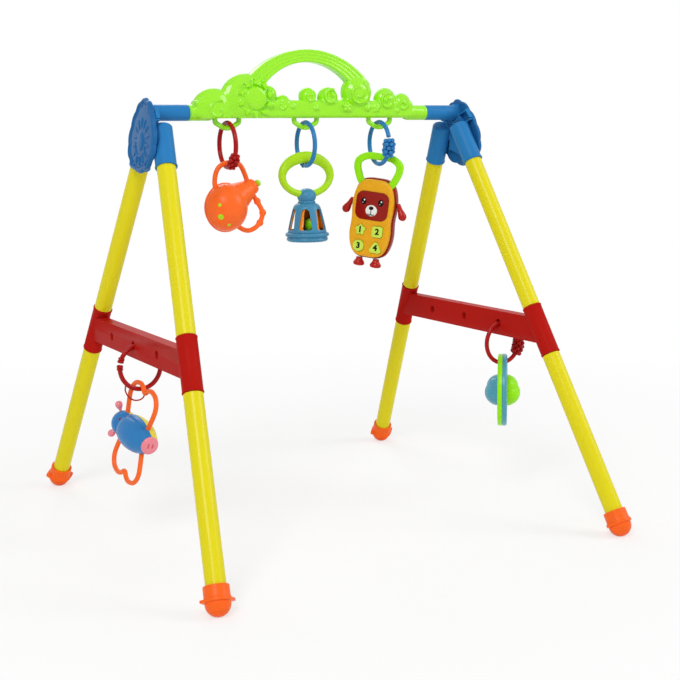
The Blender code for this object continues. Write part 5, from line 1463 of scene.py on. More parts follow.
@dataclass
class LinkRings(Assembly):
    """Five open rings of wire with bunches of small beads on their ends."""

    wire_d: float = 0.0056
    half_width: float = 0.0252
    half_height: float = 0.0265
    gap: float = 0.0022
    bar_top: float = 0.4944
    bar_x: tuple[float, float, float] = (-0.114, -0.009, 0.096)
    beam_z: float = BEAM_Z
    petal_y: float = PETAL_Y
    strand: tuple[tuple[float, float], ...] = (
        (-0.0185, -0.0190), (-0.0195, -0.0270), (-0.0150, -0.0355), (-0.0070, -0.0398), (0.0020, -0.0375),
        (0.0065, -0.0265),
    )

    def links(self) -> list[Link]:
        """The five links."""
        beam = LEGS.x_at(self.beam_z)
        front, along_beam = (0.0, -1.0, 0.0), (1.0, 0.0, 0.0)
        left, middle, right = ((x, 0.0, self.bar_top) for x in self.bar_x)
        both = ((1, Bunch.SMALL), (-1, Bunch.SMALL))
        red, blue = (RED_LINK, "link_red"), (BLUE_LINK, "link_blue")
        return [
            Link("rattle", left, front, math.radians(163), ((-1, Bunch.FULL),), *red),
            Link("bell", middle, front, math.radians(206), ((-1, Bunch.SMALL),), *blue),
            Link("phone", right, front, math.radians(76), ((1, Bunch.LARGE),), *blue),
            Link("piglet", (-beam, 0.0, self.beam_z), along_beam, math.radians(282), both, *red, self.strand),
            Link("petal", (beam, self.petal_y, self.beam_z), along_beam, math.radians(78), ((1, Bunch.LARGE),), *red),
        ]

    def place(self, link: Link, angle: float) -> Vector:
        """A point on the middle of a link's wire."""
        sideways, up = Vector(link.sideways), Vector((0, 0, 1))
        centre = Vector(link.top) - up * self.half_height
        return centre + sideways * (self.half_width * math.sin(angle)) + up * (self.half_height * math.cos(angle))

    def ring(self, link: Link) -> Shape:
        """The open wire with its rounded ends."""
        radius = (self.half_width + self.half_height) / 2
        half_gap = self.gap / 2 / radius
        start, sweep = link.gap_at + half_gap, math.tau - 2 * half_gap
        path = [self.place(link, start + sweep * k / 120) for k in range(121)]
        ring = wire(f"{link.toy}_link_wire", path, self.wire_d / 2, False, 8)
        round_over(ring, 0.0012, 4, 60)
        ring = settled(ring)
        if not link.strand:
            return ring
        centre = Vector(link.top) - Vector((0, 0, self.half_height))
        strand = smooth_path([Vector((x, 0.0, z)) + centre for x, z in link.strand])
        return merged(ring.name, [ring, wire("strand", strand, 0.0009, False, 4)])

    def bunch(self, link: Link, number: int) -> Shape:
        """The beads on one end, laid round the wire in staggered rows."""
        end, kind = link.ends[number]
        rows, around, bead, spacing, reach = kind.value
        radius = (self.half_width + self.half_height) / 2
        first = self.gap / 2 / radius + bead * 0.9 / radius
        across = Vector(link.sideways).cross(Vector((0, 0, 1)))
        points = []
        for row in range(rows):
            angle = link.gap_at + end * (first + row * spacing / radius)
            middle = self.place(link, angle)
            direction = (self.place(link, angle + 0.05) - self.place(link, angle - 0.05)).normalized()
            beside = direction.cross(across)
            pinch = reach * (0.86 if row in (0, rows - 1) and rows > 2 else 1.0)
            for k in range(around):
                turn = math.tau * (k + 0.5 * (row % 2)) / around
                points.append(middle + across * (pinch * math.cos(turn)) + beside * (pinch * math.sin(turn)))
        edit = bmesh.new()
        for point in points:
            edit.verts.new(point)
        core = bpy.data.meshes.new("bead_places")
        edit.to_mesh(core)
        edit.free()
        name = f"{link.toy}_link_beads_{number + 1}"
        return beads_over(name, new_object("bead_places", core), bead, link.finish)

    def build(self) -> None:
        """Builds every ring and its bunches."""
        for link in self.links():
            body = f"{link.toy}_link"
            self.add(self.ring(link), link.finish, body, link.slot, body)
            for number in range(len(link.ends)):
                self.add(self.bunch(link, number), link.finish, body, link.slot)


@dataclass(frozen=True)
class Hook:
    """Where a toy hangs, and how it is turned there."""

    spot: tuple[float, float, float]
    yaw: float = 0.0
    roll: float = 0.0
    rise: float = 0.0

    def place(self) -> Matrix:
        """The toy's own frame, with its origin on the link's wire."""
        turn = Matrix.Rotation(self.yaw, 4, "Z") @ Matrix.Rotation(self.roll, 4, "Y")
        return Matrix.Translation(self.spot) @ Matrix.Translation((0, 0, self.rise)) @ turn


@dataclass
class RoundRattle(Assembly):
    """An orange ball with a neck and a green nose, held in one bent ring that makes both handles."""

    hook: Hook = Hook((-0.114, 0.0, BAR_HOOK_Z))
    body_d: float = 0.0528
    centre: tuple[float, float, float] = (-0.0041, 0.0, -0.0452)
    body_height: float = 0.0580
    sag: float = 0.0028
    neck_lean: float = math.radians(58)
    neck_root_d: float = 0.0380
    neck_root: float = 0.0160
    neck_d: float = 0.0205
    neck_reach: float = 0.0465
    handle_d: float = 0.0060
    nose_d: float = 0.0088
    bumps: tuple[int, int, int] = (51, 60, 69)
    grip_middle: tuple[float, float, float] = (0.026, 0, -0.058)
    seam: float = 0.0004

    def handle_points(self) -> list[tuple[float, float, float]]:
        """The ring's course."""
        return [
            (0.0020, 0.0, HANG_RISE + self.handle_d / 2),
            (0.0150, 0.0, 0.0030), (0.0225, 0.0, -0.0110), (0.0260, 0.0, -0.0240), (0.0345, 0.0, -0.0380),
            (0.0440, 0.0, -0.0560), (0.0375, 0.0, -0.0710), (0.0235, 0.0, -0.0770), (0.0080, 0.0, -0.0690),
            (-0.0080, 0.0, -0.0500), (-0.0165, 0.0, -0.0290), (-0.0175, 0.0, -0.0120), (-0.0115, 0.0, 0.0010),
        ]

    def handles(self, place: Matrix) -> Shape:
        """The ring, with gum-soothing bumps along the outside of its lower handle."""
        path = smooth_path(self.handle_points(), 12, True)
        ring = wire("rattle_handle_ring", path, self.handle_d / 2, True, 8)
        bumps = []
        for k, index in enumerate(self.bumps):
            out = (path[index] - Vector(self.grip_middle)).normalized() * 0.0004
            bumps.append(ball(f"bump_{k}", (0.0046, 0.0030, 0.0046), Matrix.Translation(path[index] + out), 24))
        ring = melted("rattle_handle_ring", [ring, *bumps], 0.0005, 4, 0.5)
        ring.data.transform(place)
        return ring

    def build(self) -> None:
        """Builds the shells, with a rim round the back one, the handles and the nose."""
        place = self.hook.place()
        centre = Vector(self.centre)
        neck = along((math.sin(self.neck_lean), 0, math.cos(self.neck_lean)), centre)
        radius, reach = self.neck_d / 2, self.neck_reach
        profile = (
            (0, reach), (radius * 0.62, reach - 0.0003), (radius * 0.84, reach - 0.0018),
            (radius * 0.96, reach - 0.0045), (radius, reach - 0.008), (self.neck_root_d / 2, self.neck_root),
            (0, self.neck_root),
        )
        radii = (self.body_d / 2, self.body_d / 2, self.body_height / 2)
        shapes = [ball("ball", radii, Matrix.Translation(centre - Vector((0, 0, self.sag))), 64)]
        shapes.append(lathe("neck", profile, neck, 64))
        whole = melted("rattle_ball", shapes, 0.0006, 6, 0.7)
        back, front = halved(whole, ("rattle_back_half", "rattle_front_half"), towards_front(), self.seam)
        start = self.neck_lean + 0.75
        bend = [start + (math.tau - 1.5) * k / 80 for k in range(81)]
        rim = [centre + Vector((radii[0] * math.sin(a), 0.0012, radii[2] * math.cos(a) - self.sag)) for a in bend]
        back = merged("rattle_back_half", [back, wire("rim", rim, 0.0010, False, 4)])
        for half in (front, back):
            half.data.transform(place)
        self.add(front, SPOTTED_ORANGE, "rattle", "rattle_orange", "rattle_front_shell")
        self.add(back, ORANGE_TOY, "rattle", "rattle_orange", "rattle_back_shell")
        self.add(self.handles(place), ORANGE_TOY, "rattle", "rattle_orange", "rattle_handles")
        nose_radius, stem = self.nose_d / 2, self.nose_d * 0.3
        nose = (
            (0, reach + 0.0052), (nose_radius * 0.45, reach + 0.0049), (nose_radius * 0.85, reach + 0.0038),
            (nose_radius, reach + 0.0020), (nose_radius * 0.92, reach + 0.0008),
            (nose_radius * 0.8, reach + 0.0003), (stem, reach + 0.0003), (stem, reach - 0.004),
            (0, reach - 0.004),
        )
        tip = lathe("rattle_nose_cap", nose, place @ neck @ Matrix.Translation((-0.0036, 0, 0)), 48)
        self.add(tip, LEAF, "rattle", "lime", "rattle_nose")


@dataclass
class BellRattle(Assembly):
    """A lime ring handle on a blue windowed cage, with an orange liner and a loose lime ball."""

    hook: Hook = Hook((-0.009, 0.0, BAR_HOOK_Z))
    ring_width: float = 0.076
    ring_top: float = 0.0145
    ring_side: float = 0.0095
    ring_depth: float = 0.0105
    ring_middles: tuple[float, float] = (-0.0112, -0.0140)
    knob_top: float = -0.0277
    neck_z: float = -0.0435
    shoulder: float = -0.0490
    cage_foot: float = -0.0825
    bottom: float = -0.0940
    knob_d: float = 0.0240
    neck_d: float = 0.0206
    cage_top_d: float = 0.0320
    rim_d: float = 0.0550
    wall: float = 0.0020
    windows: int = 6
    window_width: float = 0.0165
    window_corner: float = 0.0030
    window_top: float = 0.66
    window_arch: float = 0.8
    window_turn: float = math.radians(28)
    liner_turn: float = math.radians(13)
    ball_d: float = 0.0180
    gap: float = 0.0003

    def handle(self) -> Shape:
        """The oval ring, thicker at its top than at its sides."""
        outer_centre, inner_centre = self.ring_middles
        outer_half = HANG_RISE + self.ring_top - outer_centre
        inner_half = HANG_RISE - inner_centre
        rings = []
        for k in range(96):
            angle = math.tau * k / 96
            outer = Vector((self.ring_width / 2 * math.sin(angle), 0, outer_centre + outer_half * math.cos(angle)))
            inner_width = self.ring_width / 2 - self.ring_side
            inner = Vector((inner_width * math.sin(angle), 0, inner_centre + inner_half * math.cos(angle)))
            middle, half = (outer + inner) / 2, (outer - inner) / 2
            turns = (math.tau * step / 28 for step in range(28))
            rings.append(
                [middle + half * math.cos(t) + Vector((0, self.ring_depth / 2 * math.sin(t), 0)) for t in turns]
            )
        return skin("bell_ring_handle", rings, True)

    def slope(self, height: float, inset: float = 0.0) -> float:
        """The cage's radius at a height."""
        share = (self.shoulder - height) / (self.shoulder - self.cage_foot)
        top, foot = self.cage_top_d / 2, self.rim_d / 2 - 0.0030
        return top + (foot - top) * max(share, 0.0) ** 0.8 - inset

    def window_tools(self, low: float, high: float, turn: float) -> Shape:
        """Cutters for all windows, with arched tops, turned about the cage's axis."""
        corner, half = self.window_corner, self.window_width / 2
        bend = [math.pi * k / 16 for k in range(17)]
        foot = [math.pi * (1 + k / 16) for k in range(17)]
        top, arch = half * self.window_top, half * self.window_arch
        outline = [(top * math.cos(a), high - arch + arch * math.sin(a)) for a in bend]
        outline += [
            (math.copysign(half - corner, math.cos(a)) + corner * math.cos(a), low + corner + corner * math.sin(a))
            for a in foot
        ]
        cutter = plate("window", [outline], 0.04)
        cutter.data.transform(Matrix.Rotation(math.pi / 2, 4, "Z") @ Matrix.Rotation(math.pi / 2, 4, "X"))
        return ring_of("windows", cutter, self.windows, 0.0, Matrix.Rotation(math.pi / 2 + turn, 4, "Z"), BLUE_BELL)

    def cage(self) -> Shape:
        """The knob, neck and flared cage with its windows."""
        knob, neck = self.knob_d / 2, self.neck_d / 2
        heights = [self.shoulder + (self.cage_foot - self.shoulder) * k / 16 for k in range(1, 17)]
        top = (
            (0.0, self.knob_top), (knob * 0.5, self.knob_top - 0.0014), (knob * 0.87, self.knob_top - 0.0050),
            (knob, self.knob_top - 0.0098), (knob * 0.93, self.knob_top - 0.0135), (neck * 0.96, self.neck_z),
        )
        profile = [
            *smooth_path(top, 5),
            (neck * 1.05, self.neck_z - 0.0008), (neck * 1.10, self.neck_z - 0.0018),
            (neck * 1.04, self.neck_z - 0.0026), (self.cage_top_d / 2 * 0.80, self.shoulder + 0.0022),
            (self.cage_top_d / 2 * 0.93, self.shoulder + 0.0008), (self.cage_top_d / 2, self.shoulder - 0.0006),
        ]
        profile += [(self.slope(height), height) for height in heights]
        profile += [(self.slope(height, self.wall), height) for height in reversed(heights)]
        profile += [(self.cage_top_d / 2 - self.wall * 1.2, self.shoulder - 0.0028), (0.0, self.shoulder - 0.0034)]
        cage = lathe("bell_cage_moulding", profile, None, 96)
        low, high = self.cage_foot + 0.0032, self.shoulder - 0.0040
        windows = self.window_tools(low, high, self.window_turn)
        cage = solid(cage, [windows], "DIFFERENCE")
        round_over(cage, 0.0004, 2, 50)
        return settled(cage)

    def base(self) -> Shape:
        """The grooved foot ring, closed by its floor."""
        rim, floor = self.rim_d / 2, self.cage_foot - self.gap
        profile = (
            (0, floor), (rim - 0.0020, floor), (rim - 0.0008, floor - 0.0006), (rim, floor - 0.0020),
            (rim, floor - 0.0034), (rim - 0.0006, floor - 0.0044), (rim - 0.0022, floor - 0.0050),
            (rim - 0.0024, floor - 0.0062), (rim - 0.0016, floor - 0.0070), (rim - 0.0014, floor - 0.0084),
            (rim - 0.0026, self.bottom + 0.0008), (rim - 0.0046, self.bottom), (0, self.bottom),
        )
        return lathe("bell_base_moulding", profile, None, 96)

    def liner(self) -> Shape:
        """The orange liner inside the cage, whose posts show at one side of each window."""
        heights = [self.shoulder + (self.cage_foot - self.shoulder) * (0.06 + 0.94 * k / 12) for k in range(13)]
        seat = self.wall + self.gap
        profile = [(self.slope(h, seat), h) for h in heights]
        profile += [(self.slope(h, seat + 0.0013), h) for h in reversed(heights)]
        liner = lathe("bell_liner_sleeve", profile, None, 96)
        turn = self.window_turn + self.liner_turn
        windows = self.window_tools(self.cage_foot + 0.0028, heights[0] - 0.0016, turn)
        return solid(liner, [windows], "DIFFERENCE")

    def build(self) -> None:
        """Builds the five pieces and hangs them."""
        radius = self.ball_d / 2
        spot = Matrix.Translation((0.006, 0, self.cage_foot + radius))
        self.add(ball("bell_loose_ball", [radius] * 3, spot, 48), LIME_BALL, "bell_ball", "lime", "bell_ball")
        self.add(self.handle(), LEAF, "bell", "lime", "bell_handle")
        self.add(self.cage(), BLUE_BELL, "bell", "teal", "bell_cage")
        self.add(self.base(), BLUE_BELL, "bell", "teal", "bell_base")
        self.add(self.liner(), AMBER_LINER, "bell", "rattle_orange", "bell_liner")
        self.hang(self.hook.place())


@dataclass
class ToyPhone(Assembly):
    """A toy phone: amber and maroon shells, a loop handle, a face panel, four keys, arms and feet."""

    hook: Hook = Hook((0.096, 0.0, BAR_HOOK_Z), math.radians(-48), math.radians(8), 0.0015)
    width: float = 0.057
    height: float = 0.100
    waist: float = 0.07
    waist_at: float = 0.05
    waist_reach: float = 0.28
    side_bend: float = 0.52
    end_bend: float = 0.78
    front_depth: float = 0.0080
    back_depth: float = 0.0140
    back_lip: float = 0.0018
    body_z: float = -0.0717
    handle_width: float = 0.066
    handle_band: float = 0.0092
    handle_depth: float = 0.0070
    panel_width: float = 0.0436
    panel_height: float = 0.0360
    panel_up: float = 0.0163
    panel_depth: float = 0.0022
    key_size: float = 0.0146
    key_spread: float = 0.0232
    key_rows: tuple[float, float] = (-0.0157, -0.0365)
    key_proud: float = 0.0022
    number_size: float = 0.0104
    number_depth: float = 0.00008
    number_weight: float = 0.00048
    muzzle: tuple[float, float, float] = (0.0078, 0.0072, 0.0014)
    nose: tuple[float, float, float] = (0.0031, 0.0024, 0.0007)
    eye: tuple[float, float, float] = (0.0037, 0.0045, 0.0007)
    key_depth: float = 0.0063
    pocket: float = 0.0060
    slide: float = 0.0004
    gap: float = 0.0003
    panel_corner: float = 0.0095
    panel_proud: float = 0.0009
    lid_size: tuple[float, float] = (0.034, 0.040)
    lid_corner: float = 0.004
    lid_depth: float = 0.0018
    lid_up: float = -0.012
    eye_spot: tuple[float, float] = (0.0115, 0.0052)
    glints: tuple[tuple[float, float, float], ...] = ((0.0009, 0.0016, 0.0011), (-0.0008, -0.0018, 0.0006))
    keys: tuple[int, ...] = (1, 2, 3, 4)
    star: tuple[float, float] = (1.12, 0.74)
    arm_d: float = 0.0062
    hand_d: float = 0.0108
    foot_d: float = 0.0150

    @property
    def face(self) -> float:
        """How far the front shell's face stands before the middle plane."""
        return self.gap / 2 + self.front_depth

    def outline(self, margin: float = 0.0, count: int = 140) -> Outline:
        """A rounded body with a slight waist under the panel."""
        half_width, half_height = self.width / 2 + margin, self.height / 2 + margin
        points = []
        for k in range(count):
            angle = math.tau * (k + 0.5) / count
            cosine, sine = math.cos(angle), math.sin(angle)
            across = math.copysign(abs(cosine) ** self.side_bend, cosine)
            up = math.copysign(abs(sine) ** self.end_bend, sine)
            pinch = 1 - self.waist * math.exp(-(((up + self.waist_at) / self.waist_reach) ** 2))
            points.append((half_width * across * pinch, half_height * up))
        return points

    def shell(self, name: str, margin: float, near: float, far: float, crown: float) -> Shape:
        """A shell from the middle plane out to a softly crowned face.

        Args:
            name: the shell's name.
            margin: how much broader it is than the front shell.
            near: where it starts, towards the front from the middle plane.
            far: where its face is.
            crown: the radius of its rounded edge.
        """
        sense = 1 if far > near else -1
        depth = abs(far - near)
        levels = [(0.0002, 0.0), (0.0, 0.0004), (0.0, depth - crown)]
        levels += [
            (crown * (1 - math.cos(a)), depth - crown + crown * math.sin(a))
            for a in (math.pi / 2 * k / 8 for k in range(1, 9))
        ]
        rings = []
        for inset, level in levels:
            ring = self.outline(margin - inset)
            rings.append([Vector((x, -(near + sense * level), self.body_z + y)) for x, y in ring])
        return skin(name, rings)

    def handle(self) -> Shape:
        """The loop handle: a band with rounded edges along its course."""
        rings = []
        for outer, inner in zip(*self.handle_outlines()):
            middle, half = (Vector(outer) + Vector(inner)) / 2, (Vector(outer) - Vector(inner)) / 2
            ring = []
            for step in range(28):
                across, proud = (
                    math.copysign(abs(share) ** 0.55, share)
                    for share in (math.cos(math.tau * step / 28), math.sin(math.tau * step / 28))
                )
                spot = middle + half * across
                ring.append(Vector((spot[0], self.handle_depth / 2 * proud, spot[1])))
            rings.append(ring)
        return skin("phone_loop_handle", rings, True)

    def handle_outlines(self) -> list[Outline]:
        """The outer and the inner outline of the loop handle, which is broadest near its top."""
        half, band = self.handle_width / 2, self.handle_band
        top = HANG_RISE + band
        shape = (
            (0.0, top), (half * 0.55, top - 0.0010), (half * 0.93, top - 0.0090), (half, top - 0.0200),
            (half * 0.90, top - 0.0310), (half * 0.74, top - 0.0410), (half * 0.52, top - 0.0470),
            (0.0, top - 0.0480),
        )
        rim = [*shape, *((-x, z) for x, z in reversed(shape[1:-1]))]
        course = smooth_path(rim, 10, True)
        middle = Vector((0.0, top - 0.024))
        outlines = []
        for offset in (0.0, -band):
            ring = []
            for k, point in enumerate(course):
                ahead = (course[(k + 1) % len(course)] - course[k - 1]).normalized()
                out = Vector((ahead[1], -ahead[0]))
                out = -out if out.dot(point - middle) < 0 else out
                ring.append(tuple(point + out * offset))
            outlines.append(ring)
        return outlines

    def key_outline(self, number: int, grow: float = 0.0) -> Outline:
        """A star, a square, a circle or a rounded triangle."""
        size = self.key_size / 2 + grow
        if number == 1:
            points = ((size * self.star[k % 2], math.tau * k / 10) for k in range(10))
            return [(reach * math.sin(turn), reach * math.cos(turn)) for reach, turn in points]
        if number == 2:
            return rounded_box(2 * size * 0.96, 2 * size * 0.96, size * 0.45)
        if number == 3:
            return [(size * math.cos(math.tau * k / 64), size * math.sin(math.tau * k / 64)) for k in range(64)]
        outline = []
        corner = size * 0.42
        for k in range(3):
            middle = math.pi / 2 + math.tau * k / 3
            centre = (size * 0.72 * math.cos(middle), size * 0.72 * math.sin(middle) - size * 0.12)
            for step in range(9):
                angle = middle - math.pi / 3 + math.pi * 2 / 3 * step / 8
                outline.append((centre[0] + corner * math.cos(angle), centre[1] + corner * math.sin(angle)))
        return outline

    def key_spot(self, number: int) -> tuple[float, float]:
        """Where a key is on the face."""
        x = self.key_spread / 2 * (-1 if number in (1, 3) else 1)
        return x, self.body_z + self.key_rows[(number - 1) // 2]

    def key(self, number: int) -> Shape:
        """One key with a cushioned top."""
        x, z = self.key_spot(number)
        place = towards_front((x, -(self.face + self.key_proud - self.key_depth), z))
        rim = self.key_outline(number)
        return plate(f"phone_key_{number}_cap", [rim], self.key_depth, place, 0.0013, 5)

    def numeral(self, number: int) -> Shape:
        """The plain number printed on a key."""
        curve = bpy.data.curves.new(f"phone_number_{number}", "FONT")
        curve.body = str(number)
        curve.size = self.number_size
        curve.align_x, curve.align_y = "CENTER", "CENTER"
        curve.extrude = self.number_depth
        curve.offset = self.number_weight
        x, z = self.key_spot(number)
        made = settled(new_object(curve.name, curve))
        made.data.transform(towards_front((x, -(self.face + self.key_proud + self.number_depth), z)))
        return made

    def limb(self, name: str, side: Side) -> Shape:
        """A short arm that swells into a hand."""
        root_z, hand_z = 0.0215, 0.0065
        near = min(self.outline(self.back_lip), key=lambda point: abs(point[1] - root_z))
        root_x = abs(near[0]) + self.gap + 0.0016
        start = Vector((side.value * root_x, 0.004, self.body_z + root_z))
        stop = Vector((side.value * (root_x + 0.0078), 0.004, self.body_z + hand_z))
        course, length = (stop - start).normalized(), (stop - start).length
        small, large = self.arm_d / 2, self.hand_d / 2
        stations = (
            (-0.06, small * 0.55), (0.0, small * 0.9), (0.35, small * 1.05), (0.55, small * 1.25),
            (0.75, large * 0.90), (0.95, large), (1.10, large * 0.88), (1.20, large * 0.62),
            (1.26, large * 0.3),
        )
        profile = [(0.0, length * 1.28), *((r, length * t) for t, r in reversed(stations)), (0.0, -length * 0.08)]
        arm = lathe(name, smooth_path(profile, 4), along(course, start), 40)
        keep = block("keep", (-root_x + 0.0016, -0.1, -0.2), (root_x - 0.0016, 0.1, 0.2))
        return solid(arm, [keep], "DIFFERENCE")

    def foot(self, name: str, side: Side) -> Shape:
        """A leg that spreads into a round foot."""
        radius = self.foot_d / 2
        top = -self.height / 2 - self.back_lip - self.gap
        profile = (
            (0, top), (radius * 0.50, top), (radius * 0.56, top - 0.0004), (radius * 0.58, top - 0.0026),
            (radius * 0.80, top - 0.0050), (radius * 0.97, top - 0.0068), (radius, top - 0.0084),
            (radius * 0.90, top - 0.0102), (radius * 0.62, top - 0.0112), (0, top - 0.0115),
        )
        return lathe(name, profile, Matrix.Translation((side.value * 0.0115, 0.001, self.body_z)), 48)

    def front_shell(self, recess: float) -> Shape:
        """The front shell with the keys' wells and the panel's recess.

        Args:
            recess: how far the floor of the recess stands before the middle plane.
        """
        front = self.shell("phone_front_half", 0.0, self.gap / 2, self.face, 0.0034)
        window = rounded_box(self.panel_width + 2 * self.gap, self.panel_height + 2 * self.gap, 0.0098)
        cuts = [plate("recess", [window], 0.01, towards_front((0, -recess, self.body_z + self.panel_up)))]
        for number in self.keys:
            x, z = self.key_spot(number)
            well = self.key_outline(number, self.slide)
            cuts.append(plate(f"well_{number}", [well], 0.02, towards_front((x, -(self.face - self.pocket), z))))
        front = solid(front, cuts, "DIFFERENCE")
        round_over(front, 0.0003, 2, 60)
        return settled(front)

    def add_face(self) -> None:
        """A plain bear-like face on the panel: a muzzle, a nose, a mouth, two eyes and their glints."""
        up = self.body_z + self.panel_up
        face = self.face + self.panel_proud

        def spot(x: float, z: float, proud: float) -> Matrix:
            """A place on the panel."""
            return towards_front((x, -(face + proud), up + z))

        def mark(shape: Shape, finish: MouldedPlastic) -> None:
            """Keeps one part of the face."""
            self.add(shape, finish, "phone", "maroon_shell")

        mark(ball("phone_muzzle", self.muzzle, spot(0.0, -0.0060, 0.0), 48), WHITE_PRINT)
        mark(ball("phone_nose", self.nose, spot(0.0, -0.0028, 0.0013), 32), BLACK_PRINT)
        eye_x, eye_z = self.eye_spot
        for side in Side:
            name, middle = side.name.lower(), side.value * eye_x
            arc = [
                (side.value * 0.0022 * (1 - math.cos(a)), -0.0026 * math.sin(a) - 0.0040, 0.0)
                for a in (k * 0.22 for k in range(13))
            ]
            stem = [(0.0, 0.0005, 0.0), *arc]
            mark(wire(f"phone_mouth_{name}", stem, 0.00045, False, 3, spot(0.0, -0.0052, 0.0014)), BLACK_PRINT)
            mark(ball(f"phone_eye_{name}", self.eye, spot(middle, eye_z, 0.0), 32), BLACK_PRINT)
            for number, (x, z, size) in enumerate(self.glints):
                glint = spot(middle + x, eye_z + z, 0.0005)
                mark(ball(f"phone_glint_{name}_{number + 1}", (size, size * 1.1, 0.0004), glint, 20), WHITE_PRINT)

    def build(self) -> None:
        """Builds the shells, handle, panel, keys, limbs and back cover, and hangs them."""
        split, recess = self.gap / 2, self.face - self.panel_depth
        front = self.front_shell(recess)
        back = self.shell("phone_back_half", self.back_lip, -split, -split - self.back_depth, 0.0042)
        cover_back, lid_z = split + self.back_depth, self.body_z + self.lid_up
        width, height = self.lid_size
        bay = rounded_box(width + 2 * self.gap, height + 2 * self.gap, self.lid_corner + self.gap)
        bay_cut = plate("bay", [bay], 2 * self.lid_depth, towards_front((0, cover_back + self.lid_depth, lid_z)))
        back = solid(back, [bay_cut], "DIFFERENCE")
        lid_place = towards_front((0, cover_back, lid_z))
        lid_rim = rounded_box(width, height, self.lid_corner)
        lid = plate("phone_battery_lid", [lid_rim], self.lid_depth - self.gap, lid_place, 0.0003, 2)
        depth = self.panel_depth + self.panel_proud - self.gap
        panel_place = towards_front((0, -(recess + self.gap), self.body_z + self.panel_up))
        glass = rounded_box(self.panel_width, self.panel_height, self.panel_corner)
        panel = plate("phone_face_panel", [glass], depth, panel_place, 0.0010, 4)
        self.add(front, AMBER_SHELL, "phone", "amber_shell", "phone_front_shell")
        self.add(back, MAROON_SHELL, "phone", "maroon_shell", "phone_back_shell")
        self.add(self.handle(), LIME_HANDLE, "phone", "lime", "phone_handle")
        self.add(panel, MAROON_SHELL, "phone", "maroon_shell", "phone_screen")
        self.add(lid, MAROON_SHELL, "phone", "maroon_shell", "phone_battery_cover")
        self.add_face()
        for number in self.keys:
            body = f"phone_key_{number}"
            self.add(self.key(number), LIME_KEY, body, "lime", body)
            self.add(self.numeral(number), BLACK_PRINT, body, "lime")
        for side in Side:
            for part, make in (("arm", self.limb), ("foot", self.foot)):
                node = f"phone_{side.name}_{part}".lower()
                self.add(make(f"{node}_skin", side), RED_LIMB, "phone", "red_limb", node)
        self.hang(self.hook.place())


